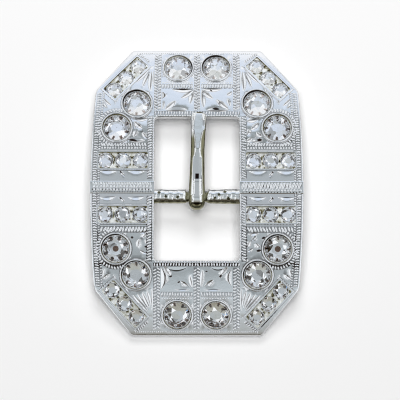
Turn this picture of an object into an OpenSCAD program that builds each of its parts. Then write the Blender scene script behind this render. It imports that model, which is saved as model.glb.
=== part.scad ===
// Western headstall buckle: one cast, arched and engraved frame with its centre bar, a tongue
// that hinges on the bar, and flat-back crystals in round bezels and in long trays.
// Millimetres. The buckle lies face up on its two end feet, its length along Y, the bar along X.

/* [Frame] */
// Length of the frame, along the strap
frame_length = 68.8; // [68:0.1:70]
// Width across the belt, where the sides bow out most
frame_width = 50.3; // [50:0.1:51]
// Width where each side meets its cut corners
shoulder_width = 48.4; // [48:0.1:49]
// Distance from the middle to where a side meets its cut corners
shoulder_at = 23.7; // [23:0.1:24.2]
// Width of each end edge, between its cut corners
end_width = 30.9; // [30.5:0.1:31.5]
// Thickness of the cast plate
plate_thickness = 2.4; // [2.2:0.1:2.8]
// How far the two ends drop below the middle of the arch
arch_drop = 7.1; // [6.5:0.1:7.5]
// Depth ground off the back edge of each end, which leaves its flat foot
foot_grind = 0.25; // [0.15:0.05:0.35]

/* [Window] */
// Width of the window, for a 19 mm strap
window_width = 20; // [19.6:0.1:20.2]
// Length of the window
window_length = 34.2; // [33.8:0.1:34.4]
// Radius of its corners
window_corner = 0.9; // [0.6:0.1:1.2]

/* [Centre bar] */
// Distance from the middle of the frame to the bar, towards the lower end
bar_offset = 1.8; // [1.5:0.1:2]
// Depth of the bar's axis below the crown of the arch
bar_depth = 2.3; // [2.1:0.1:2.5]
// Radius of the bar at the left rail
bar_radius_left = 1.78; // [1.7:0.02:1.85]
// Radius of the bar at the right rail
bar_radius_right = 2; // [1.9:0.02:2.05]
// Radius of the waist that the tongue turns on
waist_radius = 1.35; // [1.3:0.01:1.4]
// Length of the waist
waist_length = 5.6; // [5.2:0.1:6]

/* [Tongue] */
// Width of the tongue
tongue_width = 3.8; // [3.6:0.1:4]
// Thickness of the metal round the bar
tongue_wall = 1.9; // [1.7:0.1:2]
// Distance from the bar's axis to the end of the tip
tongue_reach = 20; // [19.6:0.1:20.2]
// Running clearance between the tongue's eye and the waist, on the radius
eye_clearance = 0.06; // [0.04:0.01:0.09]
// Thickness of the tongue at its tip
tip_thickness = 1.3; // [1.1:0.1:1.5]
// Sideways lean of the tip
tip_lean = 0.6; // [0:0.1:0.7]
// Gap between the tip and the rail that it rests on
tip_gap = 0.05; // [0.03:0.01:0.1]

/* [Crystals] */
// Diameter of the twelve large crystals
large_crystal_d = 6.3; // [6.2:0.05:6.35]
// Diameter of the twenty-four small crystals
small_crystal_d = 3.7; // [3.6:0.05:3.8]
// Table width as a part of the crystal's diameter
table_ratio = 0.5; // [0.45:0.01:0.56]
// Height of a large crystal above its girdle
large_crown = 1.25; // [1.1:0.05:1.3]
// Height of a small crystal above its girdle
small_crown = 0.75; // [0.65:0.05:0.8]
// How far every girdle stands above the plate's face
girdle_rise = 0.1; // [0.05:0.05:0.2]
// Gap below every crystal, and between a small crystal and the wall of its tray
crystal_gap = 0.05; // [0.03:0.01:0.08]
// Gap between a large crystal and the wall of its bezel, on the radius; adhesive fills it
large_play = 0.2; // [0.15:0.01:0.22]

/* [Bezels and trays] */
// Outer radius of each round bezel
bezel_radius = 3.77; // [3.72:0.01:3.8]
// Height of each bezel above the plate
bezel_height = 0.45; // [0.3:0.05:0.6]
// Depth of each round seat below the plate's face
seat_depth = 0.9; // [0.7:0.05:1]
// Length of each tray, over its rim
tray_length = 12.4; // [12.3:0.05:12.6]
// Width of each tray, over its rim
tray_width = 4.6; // [4.5:0.05:4.7]
// Thickness of a tray's rim
tray_rim = 0.35; // [0.3:0.05:0.4]
// Height of a tray's rim above the plate
tray_height = 0.25; // [0.2:0.05:0.35]
// Depth of a tray's floor below the plate's face
tray_depth = 0.5; // [0.4:0.05:0.6]
// Distance between the crystals of one tray
tray_pitch = 4.15; // [4.05:0.05:4.2]

/* [Relief] */
// Height of the beaded and zig-zag borders above the plate
border_height = 0.12; // [0.08:0.02:0.16]
// Height of the belt across each side rail
belt_height = 0.28; // [0.2:0.02:0.34]
// Depth of the leaf-shaped cuts
cut_depth = 0.25; // [0.15:0.05:0.35]

/* [Hidden] */
$fn = 96;
eps = 0.01;
half_length = frame_length / 2;
half_width = frame_width / 2;
arch_radius = (half_length * half_length + arch_drop * arch_drop) / (2 * arch_drop);
back_radius = arch_radius - plate_thickness;
// Height of the arch's axis: the back edge of each end sits foot_grind below the table
arch_axis_z = -sqrt(back_radius * back_radius - half_length * half_length) - foot_grind;
crown_z = arch_axis_z + arch_radius;
side_bow = (frame_width - shoulder_width) / 2;
side_radius = (shoulder_at * shoulder_at + side_bow * side_bow) / (2 * side_bow);
// Taller than everything: the height of every cut through the plate
above = 16;

bar_y = -bar_offset;
bar_z = crown_z - bar_depth;
// Length that each end of the bar runs in under its rail
bar_root = 3.5;
eye_radius = waist_radius + eye_clearance;
loop_radius = eye_radius + tongue_wall;
// How far before the window's edge the tongue's under side is already clear of the rail
rail_margin = 0.3;
// Under side of the tongue, measured from the bar's axis: at the window's edge and at the tip
rail_lift = border_height + tip_gap - bar_z;
rail_edge_reach = window_length / 2 + bar_offset - rail_margin;
rail_edge_height = arch_z(window_length / 2) + rail_lift + tip_gap / 2;
tip_foot = arch_z(tongue_reach - bar_offset) + rail_lift;

large_r = large_crystal_d / 2;
small_r = small_crystal_d / 2;
seat_radius = large_r + large_play;
pocket_radius = small_r + crystal_gap;

// The cut corners: unit normal of their edge, and its distance from the middle
cut_rise = half_length - shoulder_at;
cut_run = (shoulder_width - end_width) / 2;
cut_nx = cut_rise / norm([cut_rise, cut_run]);
cut_ny = cut_run / norm([cut_rise, cut_run]);
cut_reach = cut_nx * end_width / 2 + cut_ny * half_length;

// Turn from one small crystal of a tray to the next
small_turn = 17;

// Plan width of a beaded border, and how far the two long ones stand off their edges
border_width = 0.7;
window_border = 0.35;
edge_border = 0.35;
belt_width = 3.1;
// Gap between an outer bezel and the border round it
bezel_gap = 0.15;

// Large crystals of one quarter: name, x, y, turn
LARGE = [
    ["end", 4.55, 29.65, 10],
    ["inner", 14.3, 20.45, 28],
    ["outer", 19, 14.4, 3]
];
// Trays of one quarter: name, x, y of the middle, turn
TRAYS = [
    ["corner", 17, 27.05, -47],
    ["side", 17.4, 6.4, 0]
];
// The four quarters: name, side in x, side in y
QUARTERS = [
    ["ul", -1, 1],
    ["ur", 1, 1],
    ["ll", -1, -1],
    ["lr", 1, -1]
];

// Straight borders of one quarter: x and y of the lower left corner, of the upper right one
BORDERS = [
    [8.6, 18.5, 10.4, 33],
    [-0.8, 18.5, 0.8, 33],
    [0.79, 24.1, 8.61, 25.5],
    [11.2, 9.4, 23.2, 10.5]
];

// Leaf-shaped cuts of the right half above the belt: x and y of one tip, of the other, width
UPPER_CUTS = [
    [3.9, 20.9, 1.3, 19.1, 1.0],
    [5.3, 20.9, 7.9, 19.1, 1.0],
    [3.9, 21.7, 1.3, 23.5, 1.0],
    [5.3, 21.7, 7.9, 23.5, 1.0],
    [3.2, 23.6, 6.0, 23.6, 0.5],
    [1.3, 20.3, 1.3, 22.3, 0.5],
    [7.9, 20.3, 7.9, 22.3, 0.5],
    [11.3, 29.9, 12.0, 24.9, 0.6],
    [11.6, 30.1, 13.9, 26.2, 0.6],
    [20.6, 20.9, 22.8, 22.3, 0.7],
    [21.2, 19.2, 22.9, 20.6, 0.6]
];
// The same for the right half below the belt, with y measured downwards
LOWER_CUTS = [
    [1.4, 24.6, 2.0, 21.8, 0.7],
    [1.9, 24.8, 4.4, 22.6, 0.7],
    [2.4, 25.0, 5.6, 24.2, 0.6],
    [1.2, 19.1, 3.8, 19.4, 0.7],
    [5.4, 19.4, 7.9, 19.1, 0.7],
    [11.2, 29.8, 11.7, 24.9, 0.6],
    [11.4, 30.0, 13.0, 25.4, 0.6],
    [11.7, 30.2, 14.3, 26.3, 0.6],
    [20.6, 20.9, 22.8, 22.3, 0.7],
    [21.2, 19.2, 22.9, 20.6, 0.6]
];
// Cuts that all four quarters share: the side star and the two leaves and drop beside the belt
SHARED_CUTS = [
    [12.6, 13.8, 11.5, 15.5, 0.6],
    [13.4, 13.8, 14.4, 15.5, 0.6],
    [12.6, 13.0, 11.5, 11.3, 0.6],
    [13.4, 13.0, 14.4, 11.3, 0.6],
    [12.4, 3.0, 16.8, 3.0, 1.0],
    [18.0, 3.0, 22.4, 3.0, 1.0],
    [17.2, 3.6, 17.7, 2.3, 0.5]
];

function arch_z(y) = arch_axis_z + sqrt(arch_radius * arch_radius - y * y);
function arch_tilt(y) = asin(y / arch_radius);
function large_name(q, s) = str("large_crystal_", q[0], "_", s[0]);
function small_name(q, t, i) = str("small_crystal_", q[0], "_", t[0], "_", i + 2);
LARGE_NODES = [for (q = QUARTERS) for (s = LARGE) large_name(q, s)];
SMALL_NODES = [for (q = QUARTERS) for (t = TRAYS) for (i = [-1:1]) small_name(q, t, i)];

// Space between two heights measured outwards from the arch's face
module arch_layer(low, high) {
    translate([0, 0, arch_axis_z])
    rotate([0, 90, 0])
    difference() {
        cylinder(h = frame_width + 2, r = arch_radius + high, center = true, $fn = 360);
        cylinder(h = frame_width + 4, r = arch_radius + low, center = true, $fn = 360);
    }
}

// Raises or sinks a plan shape so that it follows the arch between two heights
module on_arch(low, high) {
    intersection() {
        linear_extrude(height = above) children();
        arch_layer(low, high);
    }
}

// Puts a piece on the arch's face, square to it
module at_face(x, y) {
    translate([x, y, arch_z(y)])
    rotate([-arch_tilt(y), 0, 0])
    children();
}

// Repeats a plan shape of the upper right quarter in the quarters given
module in_quarters(quarters) {
    for (q = quarters)
        mirror([q[1] < 0 ? 1 : 0, 0])
        mirror([0, q[2] < 0 ? 1 : 0])
        children();
}

// Plan outline of the frame: an octagon whose two long sides bow out
module outline(inset = 0) {
    cut = cut_reach - inset;
    intersection() {
        square([frame_width - 2 * inset, frame_length - 2 * inset], center = true);
        polygon([[cut / cut_nx, 0], [0, cut / cut_ny], [-cut / cut_nx, 0], [0, -cut / cut_ny]]);
        translate([half_width - side_radius - inset, 0]) circle(r = side_radius, $fn = 720);
        translate([side_radius - half_width + inset, 0]) circle(r = side_radius, $fn = 720);
    }
}

// Plan outline of the window, with round corners
module window(grow = 0) {
    corner = window_corner + grow;
    w = window_width / 2 + grow - corner;
    l = window_length / 2 + grow - corner;
    square([2 * w, 2 * (l + corner)], center = true);
    square([2 * (w + corner), 2 * l], center = true);
    for (x = [-w, w], y = [-l, l])
        translate([x, y]) circle(r = corner, $fn = 48);
}

// Lens between two points: the shape that a graver cuts
module leaf(x1, y1, x2, y2, w) {
    l = norm([x2 - x1, y2 - y1]);
    r = (l * l + w * w) / (4 * w);
    translate([(x1 + x2) / 2, (y1 + y2) / 2])
    rotate(atan2(y2 - y1, x2 - x1))
    intersection() {
        translate([0, r - w / 2]) circle(r = r);
        translate([0, w / 2 - r]) circle(r = r);
    }
}

module leaves(table) {
    for (c = table)
        leaf(c[0], c[1], c[2], c[3], c[4]);
}

// All the graver's cuts
module all_cuts() {
    in_quarters([QUARTERS[0], QUARTERS[1]]) leaves(UPPER_CUTS);
    in_quarters([QUARTERS[2], QUARTERS[3]]) leaves(LOWER_CUTS);
    in_quarters(QUARTERS) leaves(SHARED_CUTS);
}

// Straight border between two corners
module border(b) {
    translate([b[0], b[1]])
    square([b[2] - b[0], b[3] - b[1]]);
}

// Half ring of inner radius r, round the outer side of an outer bezel
module bezel_border(r) {
    half = r + border_width;
    translate([LARGE[2][1], LARGE[2][2]])
    difference() {
        intersection() {
            circle(r = half);
            translate([0, -half]) square([half, 2 * half]);
        }
        circle(r = r);
    }
}

// Raised borders: round the window and the edge, between the panels and round the outer bezels
module borders() {
    difference() {
        window(window_border + border_width);
        window(window_border);
    }
    difference() {
        outline(edge_border);
        outline(edge_border + border_width);
    }
    in_quarters(QUARTERS) {
        for (b = BORDERS)
            border(b);
        bezel_border(bezel_radius + bezel_gap);
    }
}

// Belt across both side rails, at the middle of the arch
module belt() {
    difference() {
        intersection() {
            outline();
            square([frame_width, belt_width], center = true);
        }
        square([window_width, belt_width + 1], center = true);
    }
}

// Round bezel, chamfered at its lip, before its seat is bored
module bezel() {
    chamfer = 0.15;
    rotate_extrude()
    polygon([
        [0, -seat_depth],
        [bezel_radius, -seat_depth],
        [bezel_radius, bezel_height - chamfer],
        [bezel_radius - chamfer, bezel_height],
        [0, bezel_height]
    ]);
}

// Plan outline of one tray's rim
module tray_outline(t) {
    translate([t[1], t[2]])
    rotate(t[3])
    square([tray_length, tray_width], center = true);
}

// Plan outline of one tray's pocket, with a round bulge for each crystal
module tray_pocket(t) {
    bulge = 0.25;
    translate([t[1], t[2]])
    rotate(t[3]) {
        square([tray_length - 2 * tray_rim, tray_width - 2 * tray_rim - 2 * bulge], center = true);
        for (i = [-1:1])
            translate([i * tray_pitch, 0]) circle(r = pocket_radius, $fn = 48);
    }
}

// Centre bar along X, thicker at both rails and waisted where the tongue turns
module centre_bar() {
    reach = window_width / 2 + bar_root;
    waist = waist_length / 2;
    shoulder = 0.4;
    translate([0, bar_y, bar_z])
    rotate([0, 90, 0])
    rotate_extrude()
    polygon([
        [0, -reach],
        [bar_radius_left - shoulder, -reach],
        [bar_radius_left, -reach + shoulder],
        [bar_radius_left, -waist - shoulder],
        [waist_radius, -waist],
        [waist_radius, waist],
        [bar_radius_left, waist + shoulder],
        [bar_radius_right, reach - shoulder],
        [bar_radius_right - shoulder, reach],
        [0, reach]
    ]);
}

// The frame is one casting: plate, borders, belt, bezels, trays and bar
module frame() {
    color("silver")
    difference() {
        union() {
            difference() {
                union() {
                    on_arch(-plate_thickness, 0) outline();
                    on_arch(-plate_thickness / 2, border_height) borders();
                    on_arch(-plate_thickness / 2, belt_height) belt();
                    on_arch(-plate_thickness / 2, tray_height) in_quarters(QUARTERS) {
                        tray_outline(TRAYS[0]);
                        tray_outline(TRAYS[1]);
                    }
                }
                translate([0, 0, -1]) linear_extrude(height = above + 2) window();
                on_arch(-cut_depth, 1) all_cuts();
                on_arch(-tray_depth, 1) in_quarters(QUARTERS) {
                    tray_pocket(TRAYS[0]);
                    tray_pocket(TRAYS[1]);
                }
            }
            for (q = QUARTERS, s = LARGE)
                at_face(q[1] * s[1], q[2] * s[2]) bezel();
            centre_bar();
        }
        for (q = QUARTERS, s = LARGE)
            at_face(q[1] * s[1], q[2] * s[2])
            translate([0, 0, -seat_depth]) cylinder(h = seat_depth + 3, r = seat_radius);
    }
}

// Side view of the tongue, along Y and up from the bar's axis
module tongue_profile() {
    circle(r = loop_radius);
    polygon([
        [0, 0],
        [loop_radius - tongue_wall / 2, loop_radius - tongue_wall],
        [rail_edge_reach, rail_edge_height],
        [tongue_reach, tip_foot],
        [tongue_reach, tip_foot + tip_thickness / 2],
        [tongue_reach - tip_thickness / 2, tip_foot + tip_thickness],
        [0, loop_radius - eps]
    ]);
}

// Plan of the tongue: a round end behind the bar and a leaning arm with a blunt tip
module tongue_plan() {
    w = tongue_width / 2;
    round_at = w - loop_radius;
    corner = 0.7;
    taper = 0.15;
    translate([0, round_at]) circle(r = w);
    polygon([
        [-w, round_at],
        [w, round_at],
        [w + tip_lean - taper, tongue_reach - corner],
        [w + tip_lean - corner, tongue_reach],
        [-w + tip_lean + corner, tongue_reach],
        [-w + tip_lean + taper, tongue_reach - corner]
    ]);
}

// Cross-section of the tongue, with both upper edges bevelled: along X, and up from its upper face
module tongue_section() {
    // The section is this much wider than the tongue's plan, which trims it
    spare = 0.1;
    w = tongue_width / 2 + spare;
    bevel_x = 0.75 + spare;
    bevel_z = 0.6;
    polygon([
        [-w, -3 * loop_radius],
        [w, -3 * loop_radius],
        [w, -bevel_z],
        [w - bevel_x, 0],
        [bevel_x - w, 0],
        [-w, -bevel_z]
    ]);
}

// The tongue is bent round the waist of the bar, and its tip lies on the upper rail
module tongue() {
    seam = 0.3;
    fall = atan2(loop_radius - tip_foot - tip_thickness, tongue_reach);
    color("gainsboro")
    translate([0, bar_y, bar_z])
    difference() {
        intersection() {
            translate([0, 0, -loop_radius - 1]) linear_extrude(height = 2 * loop_radius + 2) tongue_plan();
            rotate([90, 0, 90])
            translate([0, 0, -tongue_width])
            linear_extrude(height = 2 * tongue_width) tongue_profile();
            translate([0, 0, loop_radius])
            rotate([-fall, 0, -atan2(tip_lean, tongue_reach)])
            rotate([90, 0, 0])
            translate([0, 0, -tongue_reach - 2])
            linear_extrude(height = tongue_reach + 3 * loop_radius) tongue_section();
        }
        rotate([0, 90, 0]) cylinder(h = 3 * tongue_width, r = eye_radius, center = true);
        rotate([-30, 0, 0])
        translate([-tongue_width, eye_radius / 2, -seam / 2])
        cube([2 * tongue_width, loop_radius, seam]);
    }
}

// Flat-back crystal of radius r: flat back, thin girdle, sixteen lower facets, eight kites,
// eight star facets and an eight-sided table. back and crown are the heights of its two parts.
module crystal(r, back, crown) {
    table_r = r * table_ratio;
    star_r = r * (1 + table_ratio) / 2;
    edge = 0.12 * r;
    // Height of the star points that keeps each kite flat
    star_z = back + crown * (r - star_r * cos(22.5)) / (r - table_r);
    base_r = 0.9 * r;
    points = concat(
        [for (i = [0:15]) [base_r * cos(22.5 * i), base_r * sin(22.5 * i), 0]],
        [for (i = [0:15]) [r * cos(22.5 * i), r * sin(22.5 * i), back - edge]],
        [for (i = [0:15]) [r * cos(22.5 * i), r * sin(22.5 * i), back]],
        [for (i = [0:7]) [star_r * cos(45 * i + 22.5), star_r * sin(45 * i + 22.5), star_z]],
        [for (i = [0:7]) [table_r * cos(45 * i), table_r * sin(45 * i), back + crown]]
    );
    low = 16;
    girdle = 32;
    star = 48;
    table = 56;
    faces = concat(
        [[for (i = [0:15]) i]],
        [for (i = [0:15]) [i, low + i, low + (i + 1) % 16, (i + 1) % 16]],
        [for (i = [0:15]) [low + i, girdle + i, girdle + (i + 1) % 16, low + (i + 1) % 16]],
        [for (i = [0:7]) [girdle + 2 * i, star + i, girdle + 2 * i + 1]],
        [for (i = [0:7]) [girdle + 2 * i + 1, star + i, girdle + (2 * i + 2) % 16]],
        [for (i = [0:7]) [girdle + 2 * i, star + (i + 7) % 8, table + i, star + i]],
        [for (i = [0:7]) [table + i, table + (i + 1) % 8, star + i]],
        [[for (i = [7:-1:0]) table + i]]
    );
    polyhedron(points, faces);
}

module large_crystal(q, s) {
    color("azure")
    at_face(q[1] * s[1], q[2] * s[2])
    translate([0, 0, crystal_gap - seat_depth])
    rotate(s[3] * q[1] * q[2])
    crystal(large_r, seat_depth - crystal_gap + girdle_rise, large_crown);
}

// Crystal i of a tray, counted from -1 to 1
module small_crystal(q, t, i) {
    x = q[1] * (t[1] + i * tray_pitch * cos(t[3]));
    y = q[2] * (t[2] + i * tray_pitch * sin(t[3]));
    color("azure")
    at_face(x, y)
    translate([0, 0, crystal_gap - tray_depth])
    rotate(small_turn * (i + 2) * q[1])
    crystal(small_r, tray_depth - crystal_gap + girdle_rise, small_crown);
}

frame();
tongue();
for (q = QUARTERS, s = LARGE)
    large_crystal(q, s);
for (q = QUARTERS, t = TRAYS, i = [-1:1])
    small_crystal(q, t, i);
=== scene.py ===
"""Looks of the western headstall buckle: an engraved silver casting, its tongue and its foiled crystals.

Lengths are in millimetres until a mesh is made. X runs along the centre bar, Y along the strap, Z up.
"""

import math

import bpy
import numpy as np
from mathutils import Matrix, Vector
from mathutils.geometry import delaunay_2d_cdt


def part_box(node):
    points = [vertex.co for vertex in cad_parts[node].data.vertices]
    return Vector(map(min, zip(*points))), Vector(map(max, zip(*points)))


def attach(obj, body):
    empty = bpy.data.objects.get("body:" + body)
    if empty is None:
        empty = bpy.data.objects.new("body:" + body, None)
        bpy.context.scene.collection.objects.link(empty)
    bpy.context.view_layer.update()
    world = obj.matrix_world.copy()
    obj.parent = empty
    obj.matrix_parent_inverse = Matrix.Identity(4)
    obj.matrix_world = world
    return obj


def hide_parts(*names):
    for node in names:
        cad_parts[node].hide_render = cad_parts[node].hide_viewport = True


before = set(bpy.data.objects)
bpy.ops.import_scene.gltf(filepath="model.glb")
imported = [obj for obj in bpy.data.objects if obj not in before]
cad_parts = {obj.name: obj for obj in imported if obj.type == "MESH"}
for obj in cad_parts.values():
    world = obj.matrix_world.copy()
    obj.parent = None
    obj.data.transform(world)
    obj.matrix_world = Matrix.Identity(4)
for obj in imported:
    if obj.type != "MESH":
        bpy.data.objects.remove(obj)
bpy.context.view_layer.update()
MM = 0.001
RNG = np.random.default_rng(7)

# Driving sizes of the casting, as in the part
frame_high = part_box("frame")[1]
HALF_LENGTH = frame_high.y / MM
HALF_WIDTH = frame_high.x / MM
SHOULDER_X = 24.2
SHOULDER_Y = 23.7
END_X = 15.45
ARCH_DROP = 7.1
PLATE = 2.4
FOOT_GRIND = 0.25
WINDOW_X = 10.0
WINDOW_Y = 17.1
WINDOW_CORNER = 0.9
ARCH_R = (HALF_LENGTH ** 2 + ARCH_DROP ** 2) / (2 * ARCH_DROP)
BACK_R = ARCH_R - PLATE
ARCH_AXIS_Z = -math.sqrt(BACK_R ** 2 - HALF_LENGTH ** 2) - FOOT_GRIND
CROWN_Z = ARCH_AXIS_Z + ARCH_R
SIDE_BOW = HALF_WIDTH - SHOULDER_X
SIDE_R = (SHOULDER_Y ** 2 + SIDE_BOW ** 2) / (2 * SIDE_BOW)
CUT_N = np.array([HALF_LENGTH - SHOULDER_Y, SHOULDER_X - END_X])
CUT_N = CUT_N / np.linalg.norm(CUT_N)
CUT_REACH = CUT_N @ np.array([END_X, HALF_LENGTH])

BAR_Y = -1.8
BAR_Z = CROWN_Z - 2.3
BAR_R_LEFT = 1.78
BAR_R_RIGHT = 2.0
WAIST_R = 1.35
EYE_R = 1.41
LOOP_R = 3.31

SEAT_R = 3.35
SEAT_DEPTH = 0.9
BEZEL_R = 3.77
BEZEL_HEIGHT = 0.45
LARGE_R = 3.15
SMALL_R = 1.85
TRAY_LENGTH = 12.4
TRAY_WIDTH = 4.6
TRAY_RIM = 0.35
TRAY_HEIGHT = 0.25
TRAY_DEPTH = 0.5
TRAY_PITCH = 4.15

# Round seats of the upper right quarter: x, y. Trays: x, y of the middle, turn in degrees
SEATS = [(4.55, 29.65), (14.3, 20.45), (19.0, 14.4)]
TRAYS = [(17.0, 27.05, -47.0), (17.4, 6.4, 0.0)]
QUARTERS = [(-1, 1), (1, 1), (-1, -1), (1, -1)]


def arch_z(y):
    return ARCH_AXIS_Z + np.sqrt(ARCH_R ** 2 - np.square(y))


def back_z(y):
    return np.maximum(ARCH_AXIS_Z + np.sqrt(BACK_R ** 2 - np.square(y)), 0.0)


def lift(xy, height):
    """Points that stand off the arched face by height, square to it, above or below the plan points xy.

    The height is one number or one for each point.
    """
    x, y = np.asarray(xy, float).T
    sine = y / ARCH_R
    return np.column_stack([x, y + height * sine, arch_z(y) + height * np.sqrt(1 - sine ** 2)])


def drop(xy, depth):
    """Points of the arched face, moved straight down by depth."""
    return lift(xy, 0.0) + np.array([0, 0, -depth])


def cos_sin(degrees):
    return math.cos(math.radians(degrees)), math.sin(math.radians(degrees))


def face_frame(x, y, turn=0.0):
    """Middle, along, across and outward directions of the arched face at a plan point, turned in degrees."""
    sine = y / ARCH_R
    cosine = math.sqrt(1 - sine ** 2)
    east, uphill, out = np.array([[1.0, 0.0, 0.0], [0.0, cosine, -sine], [0.0, sine, cosine]])
    c, s = cos_sin(turn)
    return np.array([x, y, float(arch_z(y))]), c * east + s * uphill, c * uphill - s * east, out


def round_angles(n):
    return np.linspace(0, 2 * np.pi, n, endpoint=False)


def rays(angle, along, across):
    """Directions at these angles from along towards across."""
    return np.outer(np.cos(angle), along) + np.outer(np.sin(angle), across)


def circle(angle):
    return np.column_stack([np.cos(angle), np.sin(angle)])


def look_up(table, at):
    """Straight-line value between the rows of a table of places and values."""
    return np.interp(at, [line[0] for line in table], [line[1] for line in table])


# Plan outlines

# Points along a cut corner, a side and an end of the frame, and along an end and a side of the window
CUT_POINTS, SIDE_POINTS, END_POINTS = 34, 118, 77
WINDOW_POINTS = (45, 81)


def side_x(y, inset):
    return HALF_WIDTH - inset - SIDE_R + np.sqrt(SIDE_R ** 2 - np.square(y))


def outline(inset):
    """Closed plan outline of the frame, drawn in by inset; every inset gives the same number of points."""
    reach, top = CUT_REACH - inset, HALF_LENGTH - inset
    end = np.array([(reach - CUT_N[1] * top) / CUT_N[0], top])
    # The shoulder is where the cut corner meets the bowed side
    y = SHOULDER_Y
    for _ in range(30):
        y = (reach - CUT_N[0] * side_x(y, inset)) / CUT_N[1]
    shoulder = np.array([side_x(y, inset), y])
    cut = end + (shoulder - end) * np.linspace(0, 1, CUT_POINTS, endpoint=False)[:, None]
    side_y = np.linspace(y, -y, SIDE_POINTS, endpoint=False)
    side = np.column_stack([side_x(side_y, inset), side_y])
    lower = np.vstack([shoulder, cut[:0:-1]]) * np.array([1, -1])
    end_x = np.linspace(end[0], -end[0], END_POINTS, endpoint=False)
    half = np.vstack([cut, side, lower, np.column_stack([end_x, np.full(END_POINTS, -top)])])
    loop = np.vstack([half, -half])
    # Soften the corners
    for _ in range(3):
        loop = (np.roll(loop, 1, axis=0) + 2 * loop + np.roll(loop, -1, axis=0)) / 4
    return loop


def round_box(middles, corner, arc_points, side_points):
    """Closed rectangle with round corners; middles is how far the middles of its corners are from its own."""
    arcs = [np.array(signs) * middles + corner * circle(np.radians(90 * k + np.linspace(0, 90, arc_points)))
            for k, signs in enumerate(((1, 1), (-1, 1), (-1, -1), (1, -1)))]
    joined = []
    for k, arc in enumerate(arcs):
        t = np.linspace(0, 1, side_points[k % 2] + 2)[1:-1, None]
        joined += [arc, arc[-1] + (arcs[(k + 1) % 4][0] - arc[-1]) * t]
    return np.vstack(joined)


def window(grow):
    """Closed plan outline of the window, let out by grow."""
    radius = WINDOW_CORNER + grow
    return round_box(np.array([WINDOW_X, WINDOW_Y]) + grow - radius, radius, 8, WINDOW_POINTS)


def ring_loop(x, y, radius, n=48):
    """Plan view of a circle that lies square to the arched face."""
    centre, along, across, _ = face_frame(x, y)
    return (centre + radius * rays(round_angles(n), along, across))[:, :2]


def tray_loop(x, y, turn, inset, corner, side_points=12):
    """Plan outline of a tray, turned in degrees and drawn in by inset."""
    c, s = cos_sin(turn)
    middles = np.array([TRAY_LENGTH, TRAY_WIDTH]) / 2 - inset - corner
    u, v = round_box(middles, corner, 5, (side_points, side_points)).T
    return np.column_stack([x + c * u - s * v, y + s * u + c * v])


def inside(points, loop):
    """Which plan points lie in a closed line."""
    x, y = points.T[:, :, None]
    x1, y1 = loop.T[:, None]
    x2, y2 = np.roll(loop, -1, axis=0).T[:, None]
    crosses = (y1 > y) != (y2 > y)
    with np.errstate(divide="ignore", invalid="ignore"):
        at = x1 + (y - y1) * (x2 - x1) / (y2 - y1)
    return (np.logical_and(crosses, x < at).sum(axis=1) % 2) == 1


# Meshes

def make_object(name, points, faces, body, material, sharp, shade):
    """Mesh object from millimetre points, smooth except where its faces meet at more than sharp degrees."""
    mesh = bpy.data.meshes.new(name)
    mesh.from_pydata((np.asarray(points) * MM).tolist(), [], faces)
    mesh.validate()
    mesh.polygons.foreach_set("use_smooth", [True] * len(mesh.polygons))
    mesh.set_sharp_from_angle(angle=math.radians(sharp))
    darkening = mesh.attributes.new("darkening", "FLOAT", "POINT")
    darkening.data.foreach_set("value", np.asarray(shade, np.float32))
    obj = bpy.data.objects.new(name, mesh)
    bpy.context.scene.collection.objects.link(obj)
    mesh.materials.append(material)
    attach(obj, body)
    return obj


class Batch:
    """Many small solids gathered into one mesh of the frame."""

    def __init__(self):
        self.points, self.faces, self.shade, self.count = [], [], [], 0

    def add(self, points, faces, shade=None):
        self.points.append(points)
        self.faces += [tuple(i + self.count for i in face) for face in faces]
        self.shade.append(np.zeros(len(points)) if shade is None else shade)
        self.count += len(points)

    def build(self, name, slot, material, sharp):
        points, shade = np.vstack(self.points), np.concatenate(self.shade)
        make_object(name, points, self.faces, "buckle_frame", material, sharp, shade)


def skin(n, pairs, flip=False):
    """Faces between rings of n points; pairs holds the numbers of the first points of each two rings."""
    faces = []
    for a, b in pairs:
        for i in range(n):
            j = (i + 1) % n
            faces.append((a + j, a + i, b + i, b + j) if flip else (a + i, a + j, b + j, b + i))
    return faces


def tube(n, m, flip):
    """Faces of a tube of m rings of n points, closed at both ends."""
    first, last = tuple(range(n)), tuple(range((m - 1) * n, m * n))
    ends = [first, last[::-1]] if flip else [first[::-1], last]
    return ends + skin(n, [(k * n, (k + 1) * n) for k in range(m - 1)], flip)


def triangulate(loops, lines, points):
    """Plan triangles whose edges follow the closed loops and the open lines."""
    coords = [Vector(p) for p in points]
    edges = []
    for path, gap in [(loop, 0) for loop in loops] + [(line, 1) for line in lines]:
        first, count = len(coords), len(path)
        coords += [Vector(p) for p in path]
        edges += [(first + i, first + (i + 1) % count) for i in range(count - gap)]
    verts, _, faces, _, _, _ = delaunay_2d_cdt(coords, edges, [], 0, 1e-5, False)
    verts = np.array([v[:] for v in verts])
    faces = np.array(faces)
    a, b, c = verts[faces[:, 0]], verts[faces[:, 1]], verts[faces[:, 2]]
    area = (b[:, 0] - a[:, 0]) * (c[:, 1] - a[:, 1]) - (b[:, 1] - a[:, 1]) * (c[:, 0] - a[:, 0])
    faces[area < 0] = faces[area < 0][:, ::-1]
    return verts, faces[np.abs(area) > 1e-9]


def grid_points(low, high, step, keep_off):
    """Staggered points over a box, those near the points of keep_off left out."""
    points = []
    for k, y in enumerate(np.arange(low[1], high[1], step * 0.87)):
        x = np.arange(low[0] + (k % 2) * step / 2, high[0], step)
        points.append(np.column_stack([x, np.full(len(x), y)]))
    points = np.vstack(points)
    cell = step * 0.7
    taken = {(p[0] + dx, p[1] + dy) for p in np.floor(keep_off / cell).astype(int)
             for dx in (-1, 0, 1) for dy in (-1, 0, 1)}
    keys = np.floor(points / cell).astype(int)
    return points[np.array([(k[0], k[1]) not in taken for k in keys])]


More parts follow.
